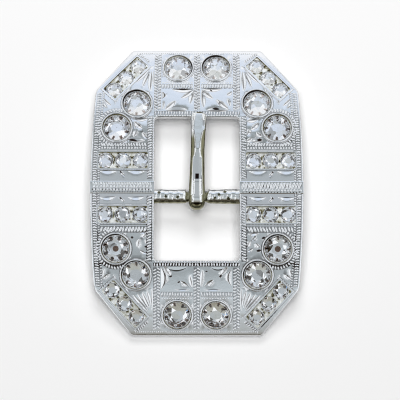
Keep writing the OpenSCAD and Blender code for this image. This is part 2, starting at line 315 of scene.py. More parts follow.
def boundary_edges(faces):
    """Directed edges that only one face has."""
    directed = set()
    for a, b, c in faces.tolist():
        directed.update(((a, b), (b, c), (c, a)))
    return [(a, b) for a, b in directed if (b, a) not in directed]


def compact(count, faces):
    """Which of count points the faces use, and the faces by the numbers that these then have."""
    used = np.zeros(count, bool)
    used[[i for face in faces for i in face]] = True
    order = np.cumsum(used) - 1
    return used, [tuple(int(order[i]) for i in face) for face in faces]


def slab(loops, holes, points, top, bottom):
    """Closed solid in plan between the first loop and the holes, from top(plan points) down to bottom(them)."""
    verts, faces = triangulate(loops, [], points)
    middle = verts[faces].mean(axis=1)
    faces = faces[inside(middle, loops[0]) & ~np.any([inside(middle, h) for h in holes] or [False], axis=0)]
    n = len(verts)
    solid = faces.tolist()
    solid += [(c + n, b + n, a + n) for a, b, c in faces.tolist()]
    solid += [(b, a, a + n, b + n) for a, b in boundary_edges(faces)]
    used, solid = compact(2 * n, solid)
    return np.vstack([top(verts), bottom(verts)])[used], solid


# The graver's cuts: x and y of one tip, of the other, width, and the side that its steep wall is on.
# A capital names a leaf, whose valley runs straight from tip to tip; a small letter a scallop, whose valley is
# its curved edge. U is a leaf like N with hardly any wall.
TOP_STARS = [
    (-6.1, 24.1, -0.7, 24, 1.32, "N"), (-0.8, 24, -3.9, 21.8, 1.21, "N"), (-0.8, 23.8, -1.7, 20.3, 1.26, "E"),
    (-8.5, 23.6, -8.5, 21.6, 1, "e"), (-7.7, 18.9, -5.1, 21.3, 1.38, "N"), (-8.1, 18.9, -7.9, 21.3, 0.57, "W"),
    (-7.5, 18.8, -2.2, 18.9, 1.61, "S"), (1.2, 24.2, 6, 24.2, 1.26, "N"), (1, 24.1, 3.9, 21.7, 1.38, "N"),
    (1.1, 23.6, 1.6, 19.4, 1.15, "W"), (8.4, 23.6, 7, 22.6, 0.98, "N"), (7.3, 22, 7.9, 19.7, 0.75, "W"),
    (7.5, 19.1, 4.7, 21.6, 1.38, "N"), (2.2, 18.8, 7.7, 18.9, 1.49, "S"),
]
UPPER_FAN = [
    (11.2, 30.1, 14.7, 25.8, 1.05, "N"), (11.3, 28.9, 13.1, 24.7, 1, "W"), (10.9, 28.9, 11.3, 23.6, 1.2, "W"),
    (10.5, 29.1, 10.5, 24.6, 0.45, "E"),
]
LOWER_FAN = [
    (11.3, -29, 15, -24.9, 1.05, "N"), (11.2, -28.6, 13.9, -24.7, 0.95, "N"), (11, -28.2, 12.8, -24.4, 0.95, "N"),
    (10.8, -27.6, 11.7, -24, 0.85, "E"), (10.5, -28.8, 10.5, -23.2, 0.5, "E"),
]
LOWER_PANELS = [
    (-7.5, -18.6, -2.1, -18.6, 1.05, "s"), (-7.8, -18.4, -6.1, -20.7, 1.3, "W"),
    (-8.45, -18.6, -8.4, -23.8, 1.3, "e"), (-1, -23.4, -1.7, -20.3, 0.9, "E"), (-1.5, -23.3, -3.8, -21.8, 0.9, "N"),
    (-1.5, -23.8, -5.2, -23.8, 0.6, "N"), (1.1, -23.3, 1.4, -19.1, 0.9, "E"), (1.7, -23.2, 4, -21.5, 1.15, "N"),
    (1.6, -23.8, 6, -23.8, 0.65, "N"), (3.2, -18.6, 6.8, -18.6, 0.85, "s"), (7.4, -18.6, 5.5, -20.6, 1.2, "E"),
    (8.3, -19, 8.2, -23, 1.1, "w"),
]
SIDE_PANELS = [
    (-14.9, 16.6, -11.5, 16.7, 1.21, "N"), (-14.9, 16, -12.9, 14.2, 1.21, "N"), (-15, 15.6, -14.5, 14.2, 0.57, "W"),
    (-14.2, 13.9, -15, 12.1, 1.26, "E"), (-12.9, 13.4, -11.8, 11.6, 1.03, "E"), (-16, 11.2, -12.2, 11.2, 1.15, "S"),
    (11.6, 16.1, 14.6, 16.7, 1.26, "N"), (12.7, 13.9, 14.6, 15.8, 1.26, "N"), (11.8, 12.4, 12.5, 14.2, 1.15, "W"),
    (14, 13.4, 15.4, 12.2, 1.15, "N"), (11.6, 11, 13.1, 12, 1.15, "N"), (12.9, 11.1, 15.6, 11.2, 0.98, "S"),
    (-13.8, -10.6, -11.2, -10.4, 0.85, "N"), (-12.9, -11.9, -11.6, -10.8, 1, "E"), (-13.5, -12, -13.9, -14.2, 1, "E"),
    (-12.1, -12.2, -11.2, -13.6, 0.9, "N"), (-13.4, -14.8, -11.6, -15.6, 0.75, "N"), (12, -11, 14.8, -10.6, 1.1, "N"),
    (12.8, -12.4, 14, -11.4, 1.1, "N"), (12.5, -12.5, 11.7, -14.2, 1.05, "W"), (13.8, -13.1, 15, -14.2, 0.9, "N"),
    (11.8, -15, 13.2, -14.3, 0.85, "N"),
]
STRIP = [
    (12, 4, 16.4, 3.9, 1.1, "U"), (18.8, 3.9, 23.2, 4, 1.1, "U"), (16.9, 2.5, 17.8, 3.6, 0.75, "N"),
]
STRIP_BELOW = [
    (12.1, -2.2, 16.3, -2.35, 1.1, "U"), (18.9, -2.2, 23, -2.4, 1.1, "U"), (16.8, -3.7, 17.8, -2.5, 0.65, "N"),
]
UPPER_CORNER = [
    (20.4, 19.9, 22.6, 21.9, 0.85, "N"), (21.4, 19.2, 23, 20.9, 0.75, "E"),
]
LOWER_CORNER = [
    (22.4, -21.5, 20.7, -20.2, 0.75, "N"), (22.5, -21.4, 21.8, -18.9, 0.9, "N"), (22.7, -21.3, 23.3, -19.2, 0.6, "E"),
]
# Cuts whose floor is black
BLACK = [
    (3.6, 19.2, 5.4, 19.1, 0.75, "S"), (3.1, 24.2, 3.7, 23.6, 0.5, "N"), (-4.9, 24.2, -2, 24.1, 0.4, "N"),
    (-16.3, 11.4, -14, 11.1, 0.85, "S"), (14.1, 11.4, 15.5, 11.4, 0.85, "S"), (21.3, 11.1, 22.5, 11.3, 0.65, "S"),
    (-4.5, -22.2, -3.9, -21.9, 0.55, "N"), (-6.5, -20.9, -5.7, -20.6, 0.55, "N"), (5.2, -20.9, 5.9, -20.4, 0.75, "N"),
    (2, -19.6, 2.6, -19.6, 0.4, "N"), (-12.3, -13.9, -11.2, -13.9, 0.7, "N"), (13.9, -14.9, 15.2, -14.6, 0.7, "N"),
    (15.2, -12, 16.1, -11.6, 0.7, "N"), (-15.5, -11.7, -14.8, -11.8, 0.7, "N"), (17.6, 3.9, 18.1, 3.4, 0.55, "N"),
    (-18.1, 3.9, -17.6, 3.4, 0.55, "N"), (-18.1, -2.3, -17.6, -2.8, 0.55, "N"), (17.6, -2.3, 18.1, -2.8, 0.55, "N"),
]


def both_sides(cuts):
    """The cuts of the right side, and the same mirrored to the left."""
    swap = {"E": "W", "W": "E", "e": "w", "w": "e"}
    return cuts + [(-x1, y1, -x2, y2, width, swap.get(side, side)) for x1, y1, x2, y2, width, side in cuts]


CLEAN = (
    TOP_STARS + LOWER_PANELS + both_sides(UPPER_FAN) + both_sides(LOWER_FAN) + SIDE_PANELS
    + both_sides(STRIP) + both_sides(STRIP_BELOW) + both_sides(UPPER_CORNER) + both_sides(LOWER_CORNER)
)
COMPASS = {"n": (0, 1), "s": (0, -1), "e": (1, 0), "w": (-1, 0), "u": (0, 1)}
# Offsets of the far edge of a cut's gentle facet, of its valley and of the top of its steep wall, in widths
LEAF, LEAF_WITHOUT_WALL, SCALLOP = (-0.65, 0.0, 0.38), (-0.95, 0.0, 0.07), (0.0, 0.75, 1.12)
# Slope of a bright cut that faces up the strap, by the tilt of the face, in degrees
SLOPE_BY_TILT = [(-20, 36), (0, 25), (20, 8.5)]
# How far to the side a bright cut may turn the line of sight, as the X part of its direction
SIDE_REACH = 0.34


class Cut:
    """One stroke of the graver: across is positive on the side of its steep wall."""

    def __init__(self, x1, y1, x2, y2, width, side):
        a, b = np.array([x1, y1]), np.array([x2, y2])
        self.length = np.linalg.norm(b - a)
        self.middle, self.along = (a + b) / 2, (b - a) / self.length
        across = np.array([-self.along[1], self.along[0]])
        self.across = across * (1 if across @ np.array(COMPASS[side.lower()]) >= 0 else -1)
        self.leaf = side.isupper()
        self.places = LEAF_WITHOUT_WALL if side == "U" else LEAF if self.leaf else SCALLOP
        # Painted shade on the steep wall, darker for a scallop
        self.wall_shade = 0.85 if self.leaf else 1.35
        # A bright cut is sloped to catch the light: by where on the arch it lies and which way it faces
        east, north = self.across
        tilt = math.degrees(self.middle[1] / ARCH_R)
        upward = float(look_up(SLOPE_BY_TILT, tilt)) if north > -0.2 else 14.0
        if side == "U":
            upward = 16.5 - tilt
        sideways = 0.5 * math.degrees(math.asin(SIDE_REACH / max(abs(east), SIDE_REACH)))
        slope = min(upward, sideways) if self.leaf else 5.5 + 4 * abs(east)
        self.width, self.depth = width, math.tan(math.radians(slope)) * (self.places[1] - self.places[0]) * width

    def swell(self, u):
        return np.maximum(1 - (2 * u / self.length) ** 2, 0) * self.width

    def lines(self):
        """The two edges, the valley, and lines just beside the valley and the gentle edge."""
        u = np.linspace(-self.length / 2, self.length / 2, max(8, int(self.length / 0.25)) + 1)
        far, valley, wall = self.places
        gentle = valley - far
        places = [far, far + 0.15 * gentle, far + 0.32 * gentle, valley - min(0.15, gentle * 0.2), valley, wall]
        return [self.middle + np.outer(u, self.along) + np.outer(place * self.swell(u), self.across)
                for place in places]

    def measure(self, points):
        """Depth at plan points, how dark the cut is painted there as shade, and how far up from its edges, as a
        share.
        """
        d = points - self.middle
        u, v = d @ self.along, d @ self.across
        swell = np.where(np.abs(u) < self.length / 2, self.swell(u), 0)
        far, valley, wall = (place * swell for place in self.places)
        with np.errstate(divide="ignore", invalid="ignore"):
            share = np.where(v > valley, (wall - v) / (wall - valley), (v - far) / (valley - far))
        share = np.clip(np.where(swell > 1e-6, share, 0), 0, 1)
        # Painted shade: a leaf has a thin dark line along its gentle edge, an upper scallop a grey floor, and the
        # steep wall is darker
        if self.leaf:
            outline_shade = 0.6 * np.clip(1 - np.abs(share - 0.15) / 0.15, 0, 1)
        else:
            outline_shade = (0.0 if self.middle[1] < 0 else 0.3) * (share > 0.02)
        on_wall = (v > valley - 0.01) & (share > 0.02)
        dark = np.where(on_wall, np.clip(2 * share, 0, 1) * self.wall_shade, outline_shade)
        return self.depth * share * swell / self.width, dark, share


CUTS = [Cut(*cut) for cut in CLEAN + BLACK]


def cut_depths(points):
    """How deep the graver went at plan points, and how dark they are painted: shade on the cuts' walls and edges,
    black in the black cuts.
    """
    depth, dark = np.zeros(len(points)), np.zeros(len(points))
    for k, cut in enumerate(CUTS):
        deep, wall, share = cut.measure(points)
        if k < len(CLEAN):
            dark = np.where(deep > depth, wall, dark)
        else:
            dark = np.maximum(dark, np.clip(3 * share, 0, 1.5))
        depth = np.maximum(depth, deep)
    return depth, dark


# Grooves that the borders stand in: how deep, and how wide their sloping sides are. Each is given by its loops
# for the triangles, and by how far plan points are inside it
GROOVE_DEPTH = 0.1
GROOVE_SIDE = 0.09


def straight_groove(x1, y1, x2, y2):
    """Groove over the rectangle between two opposite corners."""
    (x1, x2), (y1, y2) = sorted((x1, x2)), sorted((y1, y2))
    loops = []
    for inset in (0.0, GROOVE_SIDE):
        a, b, c, d = x1 + inset, y1 + inset, x2 - inset, y2 - inset
        corners = np.array([(a, b), (c, b), (c, d), (a, d)])
        loops.append(np.array([corners[k] + (corners[(k + 1) % 4] - corners[k]) * t
                               for k in range(4) for t in np.linspace(0, 1, 12, endpoint=False)]))
    return loops, lambda p: np.minimum(p - (x1, y1), (x2, y2) - p).min(axis=1)


def edge_groove(sx, near, far, reach):
    """Groove along a side edge, between two insets, as far as reach up and down."""
    loops = []
    for inset in (0.0, GROOVE_SIDE):
        y = np.linspace(-reach + inset, reach - inset, 90)
        outer = np.column_stack([sx * side_x(y, near + inset), y])
        inner = np.column_stack([sx * side_x(y, far - inset), y])
        loops.append(np.vstack([outer, inner[::-1]]))

    def margin(p):
        x, y = sx * p[:, 0], p[:, 1]
        return np.min([side_x(y, near) - x, x - side_x(y, far), reach - np.abs(y)], axis=0)
    return loops, margin


def arc_groove(x, y, r1, r2, first, last):
    """Part of a ring about x, y, between two radii and two angles."""
    low, high = sorted((first, last))
    loops = []
    for inset in (0.0, GROOVE_SIDE):
        turn = inset / r1
        ray = circle(np.linspace(np.radians(low) + turn, np.radians(high) - turn, 50))
        loops.append(np.vstack([ray * (r2 - inset), (ray * (r1 + inset))[::-1]]) + (x, y))

    def margin(p):
        dx, dy = (p - (x, y)).T
        r = np.hypot(dx, dy)
        angle = (np.degrees(np.arctan2(dy, dx)) - low) % 360
        side = np.where(angle < high - low, np.minimum(angle, high - low - angle), -1) * np.pi / 180 * r
        return np.min([r - r1, r2 - r, side], axis=0)
    return loops, margin


def ring_groove(x, y, r1, r2):
    """Full ring about x, y, between two radii."""
    def margin(p):
        r = np.hypot(*(p - (x, y)).T)
        return np.minimum(r - r1, r2 - r)
    return [ring_loop(x, y, r, 56) for r in (r1, r1 + GROOVE_SIDE, r2 - GROOVE_SIDE, r2)], margin


def tray_groove(x, y, turn, near, far):
    """Line round a tray, from near to far outside its rim."""
    c, s = cos_sin(turn)

    def margin(p):
        dx, dy = (p - (x, y)).T
        out = np.maximum(np.abs(c * dx + s * dy) - TRAY_LENGTH / 2, np.abs(c * dy - s * dx) - TRAY_WIDTH / 2)
        return np.minimum(out - near, far - out)
    return [tray_loop(x, y, turn, -grow, 0.2, 16)
            for grow in (near, near + GROOVE_SIDE, far - GROOVE_SIDE, far)], margin


def rope_angles(sx, sy):
    """First and last angle of the rope round an outer bezel."""
    first, last = (-75, 115) if sy > 0 else (-115, 75)
    return (first, last) if sx > 0 else (180 - first, 180 - last)


def all_grooves():
    grooves = []
    for sx in (-1, 1):
        for sy in (1, -1):
            grooves.append(straight_groove(sx * 10.5, sy * 2.0, sx * 11.75, sy * 17.4))
        grooves.append(edge_groove(sx, 0.55, 2.3, 23.2))
    for sy in (-1, 1):
        grooves.append(straight_groove(-10.2, sy * 17.62, 10.2, sy * 18.48))
        for x, half in ((-9.4, 0.82), (0.0, 0.72), (9.4, 0.82)):
            grooves.append(straight_groove(x - half, sy * 18.7, x + half, sy * 32.8))
        for sx in (-1, 1):
            grooves.append(straight_groove(sx * 0.95, sy * 24.3, sx * 8.45, sy * 25.5))
            grooves.append(straight_groove(sx * 11.6, sy * 9.15, sx * 22.7, sy * 10.7))
            outer_x, outer_y = SEATS[2]
            grooves.append(arc_groove(sx * outer_x, sy * outer_y, 3.9, 4.82, *rope_angles(sx, sy)))
            grooves += [ring_groove(sx * x, sy * y, 3.7, 3.97) for x, y in SEATS]
            grooves += [tray_groove(sx * x, sy * y, sx * sy * turn, -0.1, 0.2) for x, y, turn in TRAYS]
    return grooves


# How dark the hollows are painted, by place along the strap: patina together with painted shade, little beyond the
# belt, most below it
TARNISH_AND_SHADE = [
    (-34, 0.3), (-25, 0.35), (-20, 0.5), (-18.6, 0.6), (-18.5, 1.2), (-17.5, 1.2), (-17.4, 0.6), (-8, 0.5),
    (-3, 0.45), (-1.8, 0.45), (-1.6, 0.15), (1.6, 0.15), (1.8, 0.4), (5, 0.4), (10, 0.3), (17.4, 0.3),
    (17.6, 0.4), (18.5, 0.4), (18.7, 0.08), (34, 0.05),
]
GRID_STEP = 0.5
EDGE_ROUND = 0.35
# Painted shade on the rounded edge from a little below the face, and on the foot of the window's edge
EDGE_SHADE, FOOT_SHADE = 0.55, 0.4
# The bevel along the foot of both edges: how far up and how far in
FOOT_UP, FOOT_IN = 0.15, 0.12
POCKET_WALL_R = 3.56
POCKET_FLOOR = -1.3
TRAY_FLOOR = -1.0
# The rounded edge of the face: how far in, how far up
EDGE_RINGS = [(EDGE_ROUND * (1 - math.sin(a)), -EDGE_ROUND * (1 - math.cos(a)))
              for a in np.radians([18, 36, 54, 72, 90])]


def edge_rings(shape, foot_shade, verts, count):
    """Rings that round an edge, from the face down to the back: points, painted shade, and faces numbered from count.
    """
    ids = [int(np.argmin(np.hypot(*(verts - p).T))) for p in shape(EDGE_ROUND)]
    steps = [(inset, arch_z, rise, EDGE_SHADE if rise < -0.1 else 0.0) for inset, rise in EDGE_RINGS]
    steps += [(0.0, back_z, FOOT_UP, foot_shade), (FOOT_IN, back_z, 0.0, foot_shade)]
    plans = [shape(inset) for inset, *_ in steps]
    points = [np.column_stack([plan, surface(plan[:, 1]) + rise])
              for plan, (_, surface, rise, _) in zip(plans, steps)]
    size = len(ids)
    rings = [range(count + k * size, count + (k + 1) * size) for k in range(len(steps))]
    rings = [ids] + rings + [[i + 3 * len(verts) for i in ids]]
    faces = []
    for upper, lower in zip(rings, rings[1:]):
        for i in range(size):
            j = (i + 1) % size
            faces.append((lower[j], lower[i], upper[i], upper[j]))
    return np.vstack(points), np.repeat([dark for *_, dark in steps], size), faces


def casting(material):
    """The cast plate with its arch, its window, its graver's cuts, and pockets below the bezels and trays."""
    outer, hole = outline(EDGE_ROUND), window(EDGE_ROUND)
    pockets = [(ring_loop(sx * x, sy * y, POCKET_WALL_R), POCKET_FLOOR) for sx, sy in QUARTERS for x, y in SEATS]
    pockets += [(tray_loop(sx * x, sy * y, sx * sy * turn, TRAY_RIM / 2, 0.3), TRAY_FLOOR)
                for sx, sy in QUARTERS for x, y, turn in TRAYS]
    grooves = all_grooves()
    lines = [line for cut in CUTS for line in cut.lines()]
    loops = [outer, hole] + [loop for loop, _ in pockets] + [loop for pair, _ in grooves for loop in pair]
    points = grid_points((-HALF_WIDTH, -HALF_LENGTH), (HALF_WIDTH, HALF_LENGTH), GRID_STEP,
                         np.vstack(loops + lines))
    verts, faces = triangulate(loops, lines, points)
    middle = verts[faces].mean(axis=1)
    keep = inside(middle, outer) & ~inside(middle, hole)
    faces, middle = faces[keep], middle[keep]
    floor = np.zeros(len(faces))
    for loop, depth in pockets:
        floor[inside(middle, loop)] = depth
    # Four levels of points: the cut face, the floors of the pockets and of the trays, the back
    n = len(verts)
    cuts, cut_dark = cut_depths(verts)
    bands = np.max([GROOVE_DEPTH * np.clip(margin(verts) / GROOVE_SIDE, 0, 1) for _, margin in grooves], axis=0)
    points = [lift(verts, -np.maximum(cuts, bands)), drop(verts, -POCKET_FLOOR), drop(verts, -TRAY_FLOOR),
              np.column_stack([verts, back_z(verts[:, 1])])]
    solid = []
    for start, level in ((0, 0.0), (n, POCKET_FLOOR), (2 * n, TRAY_FLOOR)):
        solid += [(a + start, b + start, c + start) for a, b, c in faces[floor == level].tolist()]
    solid += [(c + 3 * n, b + 3 * n, a + 3 * n) for a, b, c in faces.tolist()]
    for start, level in ((n, POCKET_FLOOR), (2 * n, TRAY_FLOOR)):
        solid += [(a + start, b + start, b, a) for a, b in boundary_edges(faces[floor == level])]
    darkening = [np.zeros(4 * n)]
    for shape, foot_shade in ((outline, 0.0), (window, FOOT_SHADE)):
        edge, dark, faces = edge_rings(shape, foot_shade, verts, sum(map(len, darkening)))
        points.append(edge)
        darkening.append(dark)
        solid += faces
    darkening = np.concatenate(darkening)
    used, solid = compact(len(darkening), solid)
    # The grooves carry patina and painted shade by place along the strap, and the cuts their painted shade and black
    # floors
    tone = look_up(TARNISH_AND_SHADE, verts[:, 1])
    darkening[:n] = np.maximum(np.clip(bands / GROOVE_DEPTH, 0, 1) * tone, cut_dark * np.clip(tone, 0.9, 1.0))
    obj = make_object("frame_casting", np.vstack(points)[used], solid, "buckle_frame", material, 20,
                      darkening[used])
    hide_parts("frame")


# Materials

# The darkening attribute of a mesh: up to 1 towards the colour of patina and painted shade, then between these on to
# the colour of what lies deepest
DEEP_FROM, DEEP_TO = 1.05, 1.4
# How dark the black spots are, and the painted black shade in gaps
BLACK_SPOT, GAP_SHADE = 1.5, 1.6


class Nodes:
    """Adds nodes to a tree. An input is a number, a colour, a vector or the output of another node."""

    def __init__(self, tree, place):
        self.tree = tree
        self.place = self.add("TexCoord", {})[place]

    def feed(self, node, inputs):
        for name, value in inputs.items():
            socket = node.inputs[name]
            if isinstance(value, bpy.types.NodeSocket):
                self.tree.links.new(value, socket)
            else:
                socket.default_value = (*value, 1) if socket.type == "RGBA" else value

    def add(self, kind, inputs, **settings):
        """Adds a node of this kind, and gives back its outputs."""
        node = self.tree.nodes.new("ShaderNode" + kind)
        for name, value in settings.items():
            setattr(node, name, value)
        self.feed(node, inputs)
        return node.outputs

    def noise(self, scale, detail=2.0):
        return self.add("TexNoise", {"Vector": self.place, "Scale": scale, "Detail": detail})["Fac"]

    def cells(self, scale):
        return self.add("TexVoronoi", {"Vector": self.place, "Scale": scale})["Color"]

    def remap(self, value, low, high, to_low=0.0, to_high=1.0):
        """Straight from one range to the other, and no further."""
        inputs = {"Value": value, "From Min": low, "From Max": high, "To Min": to_low, "To Max": to_high}
        return self.add("MapRange", inputs)["Result"]

    def mix(self, factor, a, b):
        return self.add("Mix", {"Factor": factor, "A": a, "B": b}, data_type="RGBA")["Result"]

    def math(self, operation, a, b):
        return self.add("Math", {0: a, 1: b}, operation=operation)["Value"]

    def vector_math(self, operation, *values):
        return self.add("VectorMath", dict(enumerate(values)), operation=operation)["Vector"]

    def bump(self, height, distance, strength=1.0, **more):
        return self.add("Bump", {"Height": height, "Distance": distance, "Strength": strength, **more})["Normal"]

    def ramp(self, value, stops):
        """Colours by value, straight from one stop to the next."""
        node = self.tree.nodes.new("ShaderNodeValToRGB")
        elements = node.color_ramp.elements
        elements.remove(elements[0])
        for k, (at, colour) in enumerate(stops):
            stop = elements.new(at) if k else elements[0]
            stop.position = at
            stop.color = (*colour, 1)
        self.feed(node, {"Fac": value})
        return node.outputs["Color"]

    def darken(self, base, patina_and_shade, deepest):
        """Base colour turned by the mesh's attribute to patina and painted shade, and above 1 to the deepest."""
        darkening = self.add("Attribute", {}, attribute_name="darkening")["Fac"]
        return self.mix(self.remap(darkening, DEEP_FROM, DEEP_TO), self.mix(darkening, base, patina_and_shade), deepest)


def new_material(name):
    """Material, its nodes, and a function that sets or links the inputs of its shader."""
    material = bpy.data.materials.new(name)
    material.use_nodes = True
    nodes = Nodes(material.node_tree, "Object")
    shader = material.node_tree.nodes["Principled BSDF"]
    return material, nodes, lambda inputs: nodes.feed(shader, inputs)


def silver_material(name, colour, patina_and_shade, roughness, grain, wave):
    """Silver plate: soft hand-worked waves, fine polishing grain, and patina and painted shade in the hollows, black
    in the darkest.
    """
    material, nodes, shade = new_material(name)
    waves, fine = nodes.noise(260), nodes.noise(2600, 3)
    shade({
        "Metallic": 1.0,
        "Base Color": nodes.darken(colour, patina_and_shade, (0.02, 0.012, 0.01)),
        "Roughness": nodes.remap(waves, 0.0, 1.0, roughness * 0.75, roughness * 1.35),
        "Normal": nodes.bump(fine, grain, Normal=nodes.bump(waves, wave)),
    })
    return material


def glass_material():
    """Clear crystal, with the faintest warm and cool drift."""
    material, nodes, shade = new_material("crystal_glass")
    drift = nodes.ramp(nodes.noise(90), [(0, (0.97, 0.98, 1.0)), (1, (1.0, 0.995, 0.98))])
    shade({"Transmission Weight": 1.0, "IOR": 1.56, "Roughness": 0.0, "Base Color": drift})
    return material


def foil_material():
    """Silver foil behind a crystal: brown where it has rubbed through, dark where it is gone and in painted dark
    facet reflections.
    """
    material, nodes, shade = new_material("crystal_foil")
    foil = nodes.ramp(nodes.noise(400), [(0, (0.90, 0.91, 0.92)), (1, (0.97, 0.97, 0.97))])
    # Crumpled: every cell of the foil leans its own way
    lean = 0.06
    cells = nodes.vector_math("MULTIPLY_ADD", nodes.cells(450), (2 * lean, 2 * lean, 0.0), (-lean, -lean, 0.0))
    normal = nodes.add("NewGeometry", {})["Normal"]
    shade({
        "Metallic": 1.0,
        "Roughness": 0.02,
        "Base Color": nodes.darken(foil, (0.2, 0.085, 0.035), (0.015, 0.01, 0.006)),
        "Normal": nodes.vector_math("NORMALIZE", nodes.vector_math("ADD", normal, cells)),
    })
    return material


def glue_material():
    """Clear adhesive, glossy and lumpy, yellowed, with dark gaps; darker olive in painted shade, black in painted
    shade at crystal edges.
    """
    material, nodes, shade = new_material("setting_glue")
    lumps = nodes.noise(900, 3)
    clear = nodes.ramp(lumps, [(0.36, (0.16, 0.14, 0.08)), (0.39, (0.62, 0.62, 0.54)), (0.6, (0.97, 0.98, 0.97))])
    shade({
        "Metallic": 0.55,
        "Roughness": 0.2,
        "Base Color": nodes.darken(clear, (0.17, 0.15, 0.07), (0.015, 0.01, 0.008)),
        "Normal": nodes.bump(lumps, 0.00008, 0.6),
    })
    return material


# Borders: rows of small raised bars and beads

def bar_template(n=8):
    """A rounded bar, one unit in half length, half width and height, sunk a little below the face."""
    rings = [(1.0, -0.7), (0.98, 0.15), (0.84, 0.55), (0.5, 0.88)]
    ring = circle(round_angles(n))
    points = np.vstack([np.column_stack([ring * r, np.full(n, z)]) for r, z in rings] + [[[0, 0, 1.0]]])
    faces = [tuple(range(n))[::-1]] + skin(n, [(0, n), (n, 2 * n), (2 * n, 3 * n)])
    faces += [(3 * n + i, 3 * n + (i + 1) % n, 4 * n) for i in range(n)]
    # The foot ring is painted dark and the ring above it grey: patina with painted shade where the bar meets the face
    return points, faces, np.concatenate([np.ones(n), np.full(n, 0.6), np.zeros(2 * n + 1)])


BAR_POINTS, BAR_FACES, BAR_FOOT_SHADE = bar_template()
# By place along the strap: how high the bars stand, and how far they lean
BAR_RISE = [(-30, 1.5), (-14, 1.0), (3, 0.7), (14, 0.6), (30, 0.42)]
BAR_LEAN = 0.6


def add_bar(batch, x, y, turn, length, width, height, base=0.0, bend=0.0, dark=0.0):
    """One raised bar on the arched face; turn is its direction in degrees, bend how far its middle is pushed.

    Unless dark says how dark it is all over, only its foot is darkened, with patina and painted shade, by where it
    lies.
    It is steep on the side towards the buckle's lower end and gentle on the other, as a slanted punch leaves it.
    """
    x, y = x + RNG.normal(0, 0.03), y + RNG.normal(0, 0.03)
    centre, ahead, across, out = face_frame(x, y, turn + RNG.normal(0, 7))
    grow = 1 + RNG.normal(0, 0.12)
    local = BAR_POINTS * np.array([length / 2, width / 2 * grow, height * grow * look_up(BAR_RISE, y)])
    local[:, 2] *= 1 - BAR_LEAN * across[1] * BAR_POINTS[:, 1]
    local[:, 1] += bend * (1 - BAR_POINTS[:, 0] ** 2)
    points = centre + out * base + local[:, :1] * ahead + local[:, 1:2] * across + local[:, 2:] * out
    batch.add(points, BAR_FACES, np.full(len(points), dark) if dark else BAR_FOOT_SHADE * look_up(TARNISH_AND_SHADE, y))


def row(batch, start, end, pitch, turn, length, width, height, base=0.0, shift=0.0, bend=0.0, dark=0.0):
    """Bars evenly spaced from start to end. turn is measured from the row's own direction."""
    start, end = np.array(start, float), np.array(end, float)
    heading = math.degrees(math.atan2(end[1] - start[1], end[0] - start[0]))
    n = max(1, int(round(np.linalg.norm(end - start) / pitch)))
    for k in range(n):
        x, y = start + (end - start) * (k + 0.5 + shift) / n
        add_bar(batch, x, y, heading + turn, length, width, height, base, bend, dark)


def level_row(batch, sx, x1, x2, y, *stroke, **more):
    """Row straight across, at y from x1 to x2 of the side sx."""
    row(batch, (sx * x1, y), (sx * x2, y), *stroke, **more)


def upright_row(batch, x, y1, y2, *stroke, **more):
    row(batch, (x, y1), (x, y2), *stroke, **more)


def herringbone(batch, x, start, end, half):
    """Two upright rows of slanted strokes that meet along the middle, as a wriggle cut leaves them.

    Up the arch, where the face is brightest, grey strokes between them stand for the cut's shaded side.
    """
    pitch, slant, lag = 0.7, 58, 0.3
    # Half the distance between the rows, to the left when the rows go up
    side = -half * 0.5 * np.sign(end - start)
    strokes = [(half * 1.25, pitch * 0.7, 0.22, 0.0, 0.0, 0.06, 0.0)]
    if start > 0:
        strokes.append((half * 1.2, pitch * 0.4, 0.12, 0.0, 0.5, 0.0, 0.42))
    for length, width, height, base, shift, bend, dark in strokes:
        for sign, late in ((1, 0.0), (-1, lag)):
            upright_row(batch, x + sign * side, start, end, pitch, sign * slant, length, width, height, base,
                        shift + late, bend, dark)


def arc_row(batch, x, y, radius, first, last, pitch, length, width, height):
    """Bars that point away from x, y and lean a little, along an arc from first to last degrees."""
    n = int(math.radians(abs(last - first)) * radius / pitch)
    for k in range(n + 1):
        angle = first + (last - first) * k / n
        c, s = cos_sin(angle)
        add_bar(batch, x + radius * c, y + radius * s, angle + 12, length, width, height)


# Wriggles between the trays' ends and the corner panels, in the upper right quarter
TRAY_WRIGGLES = (((18.9, 20.9), (22.3, 23.6)), ((11.3, 31.1), (13.9, 33.2)))


def side_borders(batch, sx):
    for first, last in ((2.1, 17.2), (-17.2, -2.1)):
        # Beside the window: a column of beads and a column of slanted crescents
        upright_row(batch, sx * 10.3, first, last, 0.62, 0, 0.46, 0.5, 0.14)
        upright_row(batch, sx * 11.12, first, last, 0.62, sx * 66, 1.3, 0.5, 0.24, bend=0.1)
    # Black dots at the ends of the strokes beside the window, below the belt
    for x in (10.68, 11.74):
        upright_row(batch, sx * x, -17.2, -8.6, 0.73, 90, 0.3, 0.34, 0.06, shift=0.3, dark=BLACK_SPOT)
        upright_row(batch, sx * x, -8.6, -2.2, 0.73, 90, 0.2, 0.22, 0.05, shift=0.3, dark=BLACK_SPOT)
    # A black line beside the outer bezels, below the belt, and beside the lower right tray
    row(batch, (sx * 23.15, -15.9), (sx * 23.1, -10.4), 0.42, 0, 0.46, 0.3, 0.05, dark=BLACK_SPOT)
    if sx > 0:
        row(batch, (15.3, -32.45), (22.3, -24.35), 0.5, 0, 0.56, 0.2, 0.06, dark=BLACK_SPOT)
    # Along the side edge: bars, and beads between them
    count, first, pitch, inset = 80, -22.9, 0.58, 1.12
    for k in range(count):
        y = first + k * pitch
        x = side_x(y, inset)
        add_bar(batch, sx * x, y, sx * 8, 1.15, 0.48, 0.24, bend=0.12)
        add_bar(batch, sx * (x - 0.88), y + 0.2, sx * -25, 0.56, 0.42, 0.2)


